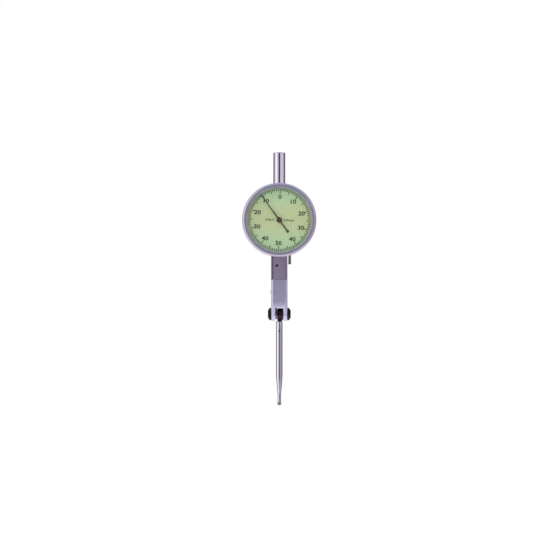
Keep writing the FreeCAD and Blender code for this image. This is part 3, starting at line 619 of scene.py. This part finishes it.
@dataclass(frozen=True)
class PaintFinish:
    """Paint or printing ink: one colour with faint, fine unevenness."""

    name: str
    colour: str
    shade: str
    roughness: float
    grain_mm: float = 0.4

    def material(self) -> Any:
        """Builds the node material."""
        made, tree, shader, spot = principled(self.name, {"Roughness": self.roughness})
        noise = add_node(
            tree,
            "ShaderNodeTexNoise",
            {"Vector": spot.outputs["Object"], "Scale": 1 / (self.grain_mm * MM), "Detail": 2.0},
        )
        tone = add_node(
            tree,
            "ShaderNodeMix",
            {"Factor": noise.outputs["Fac"], "A": linear(self.shade), "B": linear(self.colour)},
            data_type="RGBA",
        )
        tree.links.new(tone.outputs["Result"], shader.inputs["Base Color"])
        bump = add_node(
            tree,
            "ShaderNodeBump",
            {"Height": noise.outputs["Fac"], "Distance": 0.006 * MM, "Strength": 0.4},
        )
        tree.links.new(bump.outputs["Normal"], shader.inputs["Normal"])
        return made


@dataclass(frozen=True)
class ClearFinish:
    """Acrylic crystal or jewel: clear, polished, with a hairline unevenness in its gloss."""

    name: str
    colour: str
    alpha: float
    roughness: float
    ior: float
    transmission: float = 1.0

    def material(self) -> Any:
        """Builds the node material. The low alpha lets the light reach what lies behind."""
        plain = {"Alpha": self.alpha, "Transmission Weight": self.transmission, "IOR": self.ior}
        made, tree, shader, spot = principled(self.name, {"Base Color": linear(self.colour), **plain})
        noise = add_node(
            tree, "ShaderNodeTexNoise", {"Vector": spot.outputs["Object"], "Scale": 1 / (4 * MM)}
        )
        gloss = add_node(
            tree,
            "ShaderNodeMapRange",
            {"Value": noise.outputs["Fac"], "To Min": self.roughness, "To Max": self.roughness * 2},
        )
        tree.links.new(gloss.outputs["Result"], shader.inputs["Roughness"])
        return made


# satin chrome on the small reversing lever
LEVER_CHROME = MetalFinish("satin_chrome_lever", "#9a8f9c", "#84788a", 0.3, Grain.MATT, 0.4, 0.003, 3.0)
# a darkened small screw
DARK_SCREW = MetalFinish("darkened_screw_steel", "#4a4650", "#38343e", 0.3, Grain.MATT, 0.3, 0.002, 2.0)
# hardened steel of the measuring lever, its colour darkened as painted shade of the deep slot it sits in
SLOT_SHADED_LEVER_STEEL = MetalFinish(
    "lever_steel_with_painted_shade", "#7f7480", "#675c69", 0.3, Grain.ROUND_THE_PIVOT, 0.3, 0.002, 2.0
)
# the bronze bush in the middle of the hand, browned
BOSS_BRONZE = MetalFinish(
    "browned_bronze_bush", "#54453a", "#3c3029", 0.36, Grain.TURNED_ON_DIAL_AXIS, 0.5, 0.003, 1.5, 0.7
)
# the end of the hand's arbor, flashed with copper: a small reddish disc
COPPERED_STEEL = MetalFinish(
    "coppered_arbor_steel", "#7c5246", "#67443a", 0.3, Grain.TURNED_ON_DIAL_AXIS, 0.3, 0.002, 1.0
)
# bright chrome over turned brass: fine rings round the dial
BEZEL_CHROME = MetalFinish(
    "turned_chrome_bezel", "#cac5d6", "#bab4c8", 0.4, Grain.TURNED_ON_DIAL_AXIS, 0.25, 0.002, 8.0
)
# centreless-ground, polished steel: near mirror, hairline marks round it
GROUND_STEEL = MetalFinish(
    "ground_polished_steel", "#dcd8e0", "#d0cbd8", 0.075, Grain.ROUND_THE_STEM, 0.2, 0.001, 10.0
)
# oxide-blackened steel: dark brown-black with a dull sheen
BLACKENED_STEEL = MetalFinish(
    "blackened_steel", "#43363f", "#2d232b", 0.38, Grain.ROUND_THE_PIVOT, 0.3, 0.003, 2.5
)
# bright turned screws
SCREW_STEEL = MetalFinish("bright_screw_steel", "#b9b9c4", "#9a9aa6", 0.28, Grain.MATT, 0.3, 0.002, 2.0)
# fine-turned free-cutting brass
TURNED_BRASS = MetalFinish("turned_brass", "#d1b069", "#b8954c", 0.27, Grain.MATT, 0.3, 0.002, 3.0)
# heat-blued spring strip
SPRING_STEEL = MetalFinish("blued_spring_steel", "#70749a", "#565a78", 0.3, Grain.MATT, 0.3, 0.002, 3.0)
# lapped hard metal: dark grey mirror
HARD_METAL = MetalFinish("lapped_hard_metal", "#8c8b8e", "#7b7a7d", 0.16, Grain.MATT, 0.2, 0.0005, 1.0)
# satin black paint on the brass hand
POINTER_PAINT = PaintFinish("satin_black_paint", "#0d0b0c", "#151112", 0.42)
# black printing ink on the enamel
PRINTING_INK = PaintFinish("black_printing_ink", "#15180f", "#1f2419", 0.55)
# cast acrylic, polished
ACRYLIC = ClearFinish("polished_acrylic", "#fbfffb", 0.2, 0.015, 1.49)
# polished synthetic ruby
RUBY = ClearFinish("polished_ruby", "#b01733", 0.92, 0.05, 1.76, 0.6)


# ---- dial print ---------------------------------------------------------------------------------
@dataclass
class DialPrint:
    """The printed scale: a hundred divisions, figures both ways from the top, and two small legends."""

    centre_x: float = 0.0
    centre_z: float = -17.0
    face_y: float = -7.36
    ink_mm: float = 0.012
    turn_degrees: float = 1.8
    divisions: int = 100
    outer_radius: float = 15.75
    minor_inner: float = 14.45
    five_inner: float = 13.5
    ten_inner: float = 13.05
    minor_width: float = 0.42
    major_width: float = 0.4
    figure_radius: float = 11.55
    figure_height: float = 2.1
    figure_stretch: float = 1.15
    figures: tuple[int, ...] = (0, 10, 20, 30, 40, 50, 40, 30, 20, 10)
    legend_height: float = 1.02
    legend_stretch: float = 1.12
    legend_side: float = 4.85
    legends: tuple[str, str] = ("0-50-0", "0.01mm")

    def placed(self, x: np.ndarray, z: np.ndarray) -> tuple[np.ndarray, np.ndarray]:
        """Turns dial coordinates clockwise by the print's turn and moves them to the dial.

        Args:
            x: to the right of the dial's centre, in mm.
            z: above the dial's centre, in mm.

        Returns:
            x and z in the object's frame, in mm.
        """
        a = math.radians(self.turn_degrees)
        return (
            x * math.cos(a) + z * math.sin(a) + self.centre_x,
            z * math.cos(a) - x * math.sin(a) + self.centre_z,
        )

    def ticks(self) -> Any:
        """Every graduation as a thin plate of ink.

        Mark k stands at k/100 of a turn clockwise. Its corners are its inner and outer radius along
        that direction and half its width across.

        Returns:
            The piece.
        """
        k = np.arange(self.divisions)
        inner = np.where(k % 5 == 0, self.five_inner, self.minor_inner)
        inner = np.where(k % 10 == 0, self.ten_inner, inner)
        half = np.where(k % 5 == 0, self.major_width, self.minor_width) / 2
        angle = k * 2 * np.pi / self.divisions
        out = np.stack([np.sin(angle), np.cos(angle)], -1)
        side = np.stack([np.cos(angle), -np.sin(angle)], -1)
        corners = np.stack(
            [
                inner[:, None] * out - half[:, None] * side,
                inner[:, None] * out + half[:, None] * side,
                self.outer_radius * out + half[:, None] * side,
                self.outer_radius * out - half[:, None] * side,
            ],
            1,
        )
        x, z = self.placed(corners[..., 0], corners[..., 1])
        return plates("dial_graduations", np.stack([x, z], -1), self.face_y - self.ink_mm, self.face_y)

    def words(self, name: str, body: str, height: float, stretch: float, x: float, z: float) -> Any:
        """One figure or legend as a thin sheet of ink, centred on a place of the dial.

        The letters are made flat, scaled so that a figure nought has the wanted height, and stood
        up: a letter's x stays x, its height becomes z, and its front faces -Y.

        Args:
            name: the piece's name.
            body: what it says.
            height: the height of a figure in mm.
            stretch: how many times wider than the plain letters it is.
            x: to the right of the dial's centre, in mm.
            z: above it, in mm.

        Returns:
            The piece.
        """
        letters = bpy.data.curves.new(name, "FONT")
        letters.body = body
        letters.resolution_u = 3
        letters.extrude = 0.008
        letters.offset = 0.03
        holder = bpy.data.objects.new(name + "_letters", letters)
        bpy.context.scene.collection.objects.link(holder)
        bpy.context.view_layer.update()
        shaped = holder.evaluated_get(bpy.context.evaluated_depsgraph_get())
        mesh = bpy.data.meshes.new_from_object(shaped)
        bpy.data.objects.remove(holder)
        flat = np.zeros(len(mesh.vertices) * 3)
        mesh.vertices.foreach_get("co", flat)
        flat = flat.reshape(-1, 3)
        low, high = flat.min(0), flat.max(0)
        size = height / NOUGHT_HEIGHT
        spread = (flat - (low + high) / 2) * size * [stretch, 1.0, 1.0]
        place_x, place_z = self.placed(spread[:, 0] + x, spread[:, 1] + z)
        depth = self.ink_mm * (flat[:, 2] - low[2]) / (high[2] - low[2])
        stood = np.stack([place_x, self.face_y - depth, place_z], -1) * MM
        mesh.vertices.foreach_set("co", stood.ravel())
        mesh.update()
        made = bpy.data.objects.new(name, mesh)
        mesh.name = name
        bpy.context.scene.collection.objects.link(made)
        return made

    def build(self) -> list[Any]:
        """Makes and inks every mark, figure and legend.

        Returns:
            The pieces.
        """
        made = [self.ticks()]
        step = 2 * math.pi / len(self.figures)
        for index, figure in enumerate(self.figures):
            x = self.figure_radius * math.sin(index * step)
            z = self.figure_radius * math.cos(index * step)
            name = f"figure_{index}_{figure}"
            made.append(self.words(name, str(figure), self.figure_height, self.figure_stretch, x, z))
        for side, legend in zip((-1, 1), self.legends):
            made.append(
                self.words(
                    f"legend_{'left' if side < 0 else 'right'}",
                    legend,
                    self.legend_height,
                    self.legend_stretch,
                    side * self.legend_side,
                    0.0,
                )
            )
        ink = PRINTING_INK.material()
        for piece in made:
            piece.data.materials.clear()
            piece.data.materials.append(ink)
            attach(piece, "bezel")
        return made


# ---- turned and machined parts ------------------------------------------------------------------
@dataclass
class Stem:
    """The clamping stem, ground and polished, with its small turned nub on top."""

    radius: float = 3.0
    length: float = 16.85
    edge: float = 0.35
    crown: float = 0.21
    nub_radius: float = 1.5
    nub_height: float = 0.5
    spigot_radius: float = 2.0
    spigot_length: float = 5.0

    def build(self) -> list[Any]:
        """Turns the stem about Z.

        Returns:
            The piece.
        """
        top = self.length + self.crown
        profile = eased(
            [
                (0, -self.spigot_length, 0),
                (self.spigot_radius, -self.spigot_length, 0.1),
                (self.spigot_radius, 0, 0),
                (self.radius, 0, 0.03),
                (self.radius, self.length, 0.12),
                (self.radius - self.edge, top, 0.12),
                (self.nub_radius, top, 0.08),
                (self.nub_radius * 0.75, self.length + self.nub_height, 0.12),
                (0, self.length + self.nub_height, 0),
            ]
        )
        made = turned_piece("clamping_stem", profile, Axis.ALONG_Z)
        made.data.materials.append(GROUND_STEEL.material())
        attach(made, "frame")
        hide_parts("stem")
        return [made]


@dataclass
class Bezel:
    """The turned bezel with its coin edge, the ring under the crystal and the crystal."""

    centre: tuple[float, float, float] = (0.0, -7.36, -17.0)
    radius: float = 18.5
    front: float = -10.36
    back: float = -4.71
    bevel: float = 0.95
    face: float = 1.0
    bore: float = 17.0
    glass_radius: float = 16.75
    lip_radius: float = 16.2
    lip_back: float = -9.86
    lip_edge: float = 0.1
    seat_back: float = -6.81
    glass_thickness: float = 0.9
    spacer_width: float = 0.7
    dial_face: float = -7.36
    groove: tuple[float, float] = (17.17, 0.48)
    groove_middle: float = -5.61
    knurl: Knurl = Knurl(teeth=168, depth=0.11, low=-9.1, high=-5.2)

    def ring(self) -> Any:
        """Turns the bezel about the dial's axis, with the coin edge cut into its wall."""
        low, high = self.groove_middle - self.groove[1] / 2, self.groove_middle + self.groove[1] / 2
        face_outer = self.radius - self.bevel
        shoulder = self.front + self.bevel * 0.9
        wall = [(self.radius, y, 0) for y in np.linspace(self.back - 0.4, shoulder + 0.15, 17)]
        profile = eased(
            [
                (self.bore, self.back, 0),
                (self.radius - 0.25, self.back, 0.1),
                (self.radius, self.back - 0.25, 0.08),
                *wall,
                (self.radius, shoulder, 0.1),
                (self.radius - self.bevel * 0.3, self.front + self.bevel * 0.3, 0.2),
                (face_outer, self.front, 0.1),
                (face_outer - self.face, self.front, 0.08),
                (self.lip_radius, self.lip_back - self.lip_edge, 0.03),
                (self.lip_radius, self.lip_back, 0),
                (self.glass_radius, self.lip_back, 0),
                (self.glass_radius, self.seat_back, 0),
                (self.bore, self.seat_back, 0),
                (self.bore, low, 0),
                (self.groove[0], low, 0),
                (self.groove[0], high, 0),
                (self.bore, high, 0),
            ]
        )
        return turned_piece(
            "bezel_with_coin_edge",
            profile,
            Axis.ALONG_Y,
            self.centre,
            segments=self.knurl.teeth * 8,
            closed=True,
            knurl=self.knurl,
        )

    def glass(self) -> Any:
        """Turns the crystal, with its polished edges broken."""
        back = self.lip_back + self.glass_thickness
        profile = eased(
            [
                (0, self.lip_back, 0),
                (self.glass_radius, self.lip_back, 0.08),
                (self.glass_radius, back, 0.08),
                (0, back, 0),
            ]
        )
        return turned_piece("watch_crystal", profile, Axis.ALONG_Y, self.centre, 192)

    def spacer(self) -> Any:
        """Turns the bright ring between the dial and the crystal."""
        glass_back = self.lip_back + self.glass_thickness
        inner = self.glass_radius - self.spacer_width
        profile = eased(
            [
                (inner, self.dial_face, 0),
                (self.glass_radius, self.dial_face, 0.03),
                (self.glass_radius, glass_back, 0.03),
                (inner, glass_back, 0.05),
            ]
        )
        return turned_piece("ring_under_crystal", profile, Axis.ALONG_Y, self.centre, 192, closed=True)

    def build(self) -> list[Any]:
        """Makes the three pieces.

        Returns:
            The pieces.
        """
        chrome = BEZEL_CHROME.material(self.centre)
        made = []
        for piece, node, slot, stuff in (
            (self.ring(), "bezel_ring", "bezel_chrome", chrome),
            (self.spacer(), "dial_spacer", "bezel_chrome", chrome),
            (self.glass(), "crystal", "crystal_clear", ACRYLIC.material()),
        ):
            piece.data.materials.append(stuff)
            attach(piece, "bezel")
            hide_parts(node)
            made.append(piece)
        return made


@dataclass
class Stylus:
    """The polished stylus shaft with its cross hole, the ball and the dark hub."""

    pivot_z: float = -64.2
    radius: float = 1.65
    shoulder_drop: float = 3.7
    taper_drop: float = 31.3
    neck_drop: float = 40.8
    tip_radius: float = 0.87
    ball_radius: float = 1.03
    ball_drop: float = 45.0
    thread_radius: float = 0.8
    thread_length: float = 1.6
    hole_radius: float = 0.55
    hole_drop: float = 8.6
    hole_web: float = 0.1  # left in its middle, so that it looks dark and not through to the background

    def shaft(self) -> Any:
        """Turns the shaft about Z and drills its cross hole."""
        z = self.pivot_z
        top = z - self.shoulder_drop
        tip = z - self.ball_drop + math.sqrt(self.ball_radius**2 - self.tip_radius**2)
        profile = eased(
            [
                (0, tip, 0),
                (self.tip_radius, tip, 0.05),
                (self.tip_radius, z - self.neck_drop, 1.5),
                (self.radius, z - self.taper_drop, 2.5),
                (self.radius, top - 0.2, 0.08),
                (self.radius - 0.2, top, 0),
                (self.thread_radius, top, 0),
                (self.thread_radius, top + self.thread_length, 0),
                (0, top + self.thread_length, 0),
            ],
            8,
        )
        made = turned_piece("stylus_shaft_polished", profile, Axis.ALONG_Z)
        hole = (0.0, 0.0, z - self.hole_drop)
        for start, end in ((-self.radius * 2, -self.hole_web / 2), (self.hole_web / 2, self.radius * 2)):
            plug = np.array([(0, start), (self.hole_radius, start), (self.hole_radius, end), (0, end)])
            pierced(made, turned_piece("cross_hole", plug, Axis.ALONG_Y, hole, 48))
        return made

    def ball(self) -> Any:
        """Turns the ball: at angle a from its foot the radius is r sin a and the height -r cos a."""
        a = np.linspace(0, np.pi, 49)
        profile = np.stack([np.sin(a), -np.cos(a)], -1) * self.ball_radius
        profile[[0, -1], 0] = 0.0
        profile[:, 1] += self.pivot_z - self.ball_drop
        return turned_piece("contact_ball", profile, Axis.ALONG_Z, segments=96)

    def build(self) -> list[Any]:
        """Makes the three pieces.

        Returns:
            The pieces.
        """
        shaft, ball = self.shaft(), self.ball()
        for piece, node, slot, finish in (
            (shaft, "stylus_shaft", "polished_steel", GROUND_STEEL),
            (ball, "ball_tip", "ball_carbide", HARD_METAL),
        ):
            piece.data.materials.append(finish.material((0.0, 0.0, self.pivot_z - self.ball_drop)))
            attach(piece, "stylus")
            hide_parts(node)
        hub = smoothed("stylus_hub", "stylus_grip_hub", "stylus")
        hub.data.materials.append(BLACKENED_STEEL.material((0.0, 0.0, self.pivot_z)))
        return [shaft, ball, hub]


@dataclass
class MachinedParts:
    """The parts whose shape comes straight from the machining, by finish and by body.

    Those that show are stood in for by smooth-shaded pieces; the works inside only get a finish.
    """

    dial_centre: tuple[float, float, float] = (0.0, -7.36, -17.0)
    pivot: tuple[float, float, float] = (0.0, 0.0, -64.2)
    dial_radius: float = 16.0
    shown: dict[str, tuple[str, str, str]] = field(
        default_factory=lambda: {
            "body_frame": ("bar_and_case", "frame", "satin"),
            "rear_cover": ("rear_cover_plate", "frame", "satin"),
            "clutch_lever": ("reversing_lever", "clutch", "lever"),
            "pivot_cap_left": ("pivot_cap_left_side", "frame", "black"),
            "pivot_cap_right": ("pivot_cap_right_side", "frame", "black"),
            "rear_cover_screws": ("rear_cover_screw_pair", "frame", "screw"),
            "sector_bearing_screws": ("sector_bearing_screw_pair", "frame", "screw"),
            "crown_bearing_screws": ("crown_bearing_screw_pair", "frame", "screw"),
            # the measuring lever's finish carries painted shade of its slot
            "measuring_lever": ("measuring_lever_slot_shaded", "lever", "hardened"),
            "pointer_hand": ("pointer_blade", "pointer", "paint"),
            "pointer_boss": ("pointer_bush", "pointer", "boss"),
            "stop_screw": ("lever_stop_screw", "frame", "dark_screw"),
        }
    )
    inside: dict[str, tuple[str, ...]] = field(
        default_factory=lambda: {
            "ground": ("drive_pin", "sector_arbor", "crown_arbor", "clutch_shaft"),
            "copper": ("centre_arbor",),
            "black": ("pivot_pin", "set_screw"),
            "screw": ("movement_plate_screws", "centre_cock_screws"),
            "brass": ("movement_plate", "centre_cock", "sector_lever", "crown_wheel",
                      "hairspring_collet", "hairspring_stud", "dial_carrier", "clutch_bush"),
            "spring": ("friction_washer", "hairspring", "bezel_spring", "lever_spring"),
            "ruby": ("front_jewel", "rear_jewel"),
            "enamel": ("dial_plate",),
        }
    )

    def materials(self) -> dict[str, Any]:
        """One material for each finish."""
        return {
            "satin": BarFinish().material(),
            "lever": LEVER_CHROME.material(),
            "ground": GROUND_STEEL.material(),
            # painted shade: the measuring lever's steel darkened for the slot it sits in
            "hardened": SLOT_SHADED_LEVER_STEEL.material(self.pivot),
            "black": BLACKENED_STEEL.material(self.pivot),
            "screw": SCREW_STEEL.material(),
            "dark_screw": DARK_SCREW.material(),
            "brass": TURNED_BRASS.material(),
            "spring": SPRING_STEEL.material(),
            "ruby": RUBY.material(),
            "enamel": DialEnamel().material(self.dial_centre, self.dial_radius),
            "paint": POINTER_PAINT.material(),
            "boss": BOSS_BRONZE.material(self.dial_centre),
            "copper": COPPERED_STEEL.material(self.dial_centre),
        }

    def build(self) -> list[Any]:
        """Gives every machined part its finish.

        Returns:
            The pieces that stand in for parts.
        """
        stuff = self.materials()
        made = []
        for node, (name, body, finish) in self.shown.items():
            piece = smoothed(node, name, body)
            piece.data.materials.append(stuff[finish])
            made.append(piece)
        for finish, nodes in self.inside.items():
            for node in nodes:
                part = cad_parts[node]
                part.data.materials.clear()
                part.data.materials.append(stuff[finish])
        return made


# ---- studio -------------------------------------------------------------------------------------
@dataclass
class Lamp:
    """A soft rectangular lamp that looks at a point."""

    name: str
    azimuth: float
    elevation: float
    distance: float
    width: float
    height: float
    watts: float
    colour: str = "#ffffff"

    def build(self, aim: np.ndarray) -> Any:
        """Places the lamp. Azimuth 0 is the camera's side, and positive is to the right of it.

        Polished metal doesn't mirror it, because the cards are what metal sees.

        Args:
            aim: the point it looks at, in metres.

        Returns:
            The lamp's object.
        """
        light = bpy.data.lights.new(self.name, "AREA")
        light.shape = "RECTANGLE"
        light.size, light.size_y = self.width, self.height
        light.energy = self.watts
        light.color = linear(self.colour)[:3]
        a, e = math.radians(self.azimuth), math.radians(self.elevation)
        away = np.array([math.sin(a) * math.cos(e), -math.cos(a) * math.cos(e), math.sin(e)])
        made = bpy.data.objects.new(self.name, light)
        made.location = aim + away * self.distance
        made.rotation_euler = (math.pi / 2 - e, 0.0, a)
        made.visible_glossy = False
        bpy.context.scene.collection.objects.link(made)
        return made


@dataclass
class Card:
    """An upright curved card that only polished metal sees, as a studio sets up for chrome.

    It is part of a cylinder about the object: azimuths in degrees from the camera's side, positive
    to its right, heights from the aim and the radius in metres. level is how bright it looks.
    """

    name: str
    azimuths: tuple[float, float]
    level: float
    colour: str = "#ffffff"
    heights: tuple[float, float] = (-0.6, 0.6)
    radius: float = 0.6

    def shape(self) -> tuple[np.ndarray, np.ndarray, np.ndarray]:
        """The card's points: x = R sin a, y = -R cos a, z = height."""
        a = np.radians(np.linspace(*self.azimuths, 25))[:, None]
        return self.radius * np.sin(a), -self.radius * np.cos(a), np.linspace(*self.heights, 5)[None, :]

    def build(self, aim: np.ndarray) -> Any:
        """Makes the card round the object.

        Args:
            aim: the middle of the cylinder, in metres.

        Returns:
            The card.
        """
        grid = np.stack(np.broadcast_arrays(*self.shape()), -1)
        i, j = np.arange(24)[:, None], np.arange(4)[None, :]
        corners = [i * 5 + j, (i + 1) * 5 + j, (i + 1) * 5 + j + 1, i * 5 + j + 1]
        faces = np.stack(np.broadcast_arrays(*corners), -1).reshape(-1, 4).tolist()
        made = mesh_object(self.name, grid.reshape(-1, 3) + aim, faces, 30.0)
        stuff = bpy.data.materials.new(self.name)
        stuff.use_nodes = True
        tree = stuff.node_tree
        tree.nodes.remove(tree.nodes["Principled BSDF"])
        glow = add_node(tree, "ShaderNodeEmission", {"Color": linear(self.colour), "Strength": self.level})
        tree.links.new(glow.outputs[0], tree.nodes["Material Output"].inputs["Surface"])
        made.data.materials.append(stuff)
        made.visible_camera = made.visible_diffuse = made.visible_shadow = False
        made.visible_transmission = False
        return made


@dataclass
class Canopy(Card):
    """A level card overhead, also seen only in polished metal. Its heights' middle is its height."""

    def shape(self) -> tuple[np.ndarray, np.ndarray, np.ndarray]:
        """A disc: rings of radius R s for s from 0.02 to 1, at angle a."""
        a = np.radians(np.linspace(0, 360, 25))[:, None]
        s = np.linspace(0.02, 1, 5)[None, :]
        level_z = np.full((25, 5), np.mean(self.heights))
        return self.radius * s * np.sin(a), -self.radius * s * np.cos(a), level_z


@dataclass
class Studio:
    """A white sweep, soft lamps and a long-lens camera level with the object."""

    aim: tuple[float, float, float] = (0.35, 0.0, -47.05)
    camera_distance: float = 1175.0
    lens: float = 150.0
    sensor: float = 36.0
    floor_z: float = -165.0
    floor_radius: float = 420.0
    fill_strength: float = 0.62
    lamps: tuple[Lamp, ...] = (
        Lamp("lamp_left", -52.0, -12.0, 0.75, 0.42, 1.0, 1.3, "#fffafa"),
        Lamp("lamp_right", 62.0, 12.0, 0.80, 0.35, 0.70, 0.8, "#fdf6fb"),
        Lamp("lamp_top", -10.0, 62.0, 0.80, 0.60, 0.50, 1.4, "#f3f6ff"),
        Lamp("lamp_front", -6.0, 14.0, 0.90, 0.50, 0.50, 1.3, "#ffffff"),
    )
    cards: tuple[Card, ...] = (
        Card("card_behind_camera", (-13.0, 17.0), 0.085),
        Card("card_left_soft", (-36.0, -13.0), 0.75, "#f6f3ff"),
        Card("card_left_key", (-84.0, -36.0), 1.4, "#fbf8ff"),
        Card("card_left_side", (-112.0, -84.0), 0.6, "#fff8ff"),
        Card("card_back_left", (-180.0, -112.0), 0.13),
        Card("card_right_high", (17.0, 84.0), 0.9, "#f8f6ff", (-0.01, 0.6)),
        Card("card_right_low", (17.0, 84.0), 0.5, "#fff4ff", (-0.6, -0.01)),
        Card("card_right_side", (84.0, 112.0), 0.42, "#fff4ff"),
        Card("card_back_right", (112.0, 180.0), 0.1),
        Canopy("card_overhead", (0.0, 360.0), 1.0, "#dfe6ff", (0.6, 0.6), 0.62),
    )

    def camera(self) -> Any:
        """Sets the camera, which looks along +Y."""
        lens = bpy.data.cameras.new("camera")
        lens.lens, lens.sensor_width = self.lens, self.sensor
        lens.clip_start, lens.clip_end = 0.05, 20.0
        made = bpy.data.objects.new("camera", lens)
        x, y, z = self.aim
        made.location = (x * MM, (y - self.camera_distance) * MM, z * MM)
        made.rotation_euler = (math.pi / 2, 0.0, 0.0)
        bpy.context.scene.collection.objects.link(made)
        bpy.context.scene.camera = made
        return made

    def world(self) -> None:
        """A white background for the camera, for gloss and through glass, and a softer fill."""
        scene = bpy.context.scene
        scene.world = bpy.data.worlds.new("white_room")
        scene.world.use_nodes = True
        tree = scene.world.node_tree
        path = add_node(tree, "ShaderNodeLightPath")
        seen = path.outputs["Is Camera Ray"]
        for other in ("Is Glossy Ray", "Is Transmission Ray"):
            seen = add_node(
                tree, "ShaderNodeMath", {0: seen, 1: path.outputs[other]}, operation="MAXIMUM"
            ).outputs[0]
        strength = add_node(
            tree, "ShaderNodeMapRange", {"Value": seen, "To Min": self.fill_strength, "To Max": 1.0}
        )
        shade = tree.nodes["Background"]
        shade.inputs["Color"].default_value = (1.0, 1.0, 1.0, 1.0)
        tree.links.new(strength.outputs["Result"], shade.inputs["Strength"])

    def floor(self) -> Any:
        """A pale round floor under the object, which fades out into the white background.

        Returns:
            The floor's object.
        """
        ring = np.linspace(0, 2 * np.pi, 96, endpoint=False)
        rim = np.stack([np.cos(ring), np.sin(ring), np.zeros(96)], -1) * self.floor_radius
        verts = np.vstack([rim, [[0.0, 0.0, 0.0]]]) + [0.0, 0.0, self.floor_z]
        faces = [(i, (i + 1) % 96, 96) for i in range(96)]
        made = mesh_object("floor", verts * MM, faces, 30.0)
        stuff = bpy.data.materials.new("white_paper_floor")
        stuff.use_nodes = True
        tree = stuff.node_tree
        tree.nodes.remove(tree.nodes["Principled BSDF"])
        spot = add_node(tree, "ShaderNodeTexCoord")
        away = add_node(tree, "ShaderNodeVectorMath", {0: spot.outputs["Object"], 1: (1, 1, 0)},
                        operation="MULTIPLY")
        away = add_node(tree, "ShaderNodeVectorMath", {0: away.outputs[0]}, operation="LENGTH")
        fade = add_node(
            tree,
            "ShaderNodeMapRange",
            {
                "Value": away.outputs["Value"],
                "From Min": self.floor_radius * MM * 0.35,
                "From Max": self.floor_radius * MM * 0.95,
            },
            interpolation_type="SMOOTHSTEP",
        )
        paper = add_node(tree, "ShaderNodeBsdfDiffuse", {"Color": linear("#f2f2f2")})
        glow = add_node(tree, "ShaderNodeEmission", {"Strength": 0.35})
        lit = add_node(tree, "ShaderNodeAddShader", {0: paper.outputs[0], 1: glow.outputs[0]})
        clear = add_node(tree, "ShaderNodeBsdfTransparent")
        mixed = add_node(
            tree, "ShaderNodeMixShader", {0: fade.outputs["Result"], 1: lit.outputs[0], 2: clear.outputs[0]}
        )
        tree.links.new(mixed.outputs[0], tree.nodes["Material Output"].inputs["Surface"])
        made.data.materials.append(stuff)
        return made

    def build(self) -> None:
        """Sets up the whole studio."""
        self.camera()
        self.world()
        self.floor()
        aim = np.array(self.aim) * MM
        for light in (*self.lamps, *self.cards):
            light.build(aim)
        bpy.context.scene.view_settings.view_transform = "Standard"


def main() -> None:
    """Builds the scene."""
    logging.basicConfig(level=logging.INFO, format="%(name)s: %(message)s")
    Studio().build()
    for group in (Stem(), Bezel(), Stylus(), MachinedParts(), DialPrint()):
        for piece in group.build():
            LOG.info("%s: %s", type(group).__name__, piece.name)


if __name__ == "__main__":
    main()
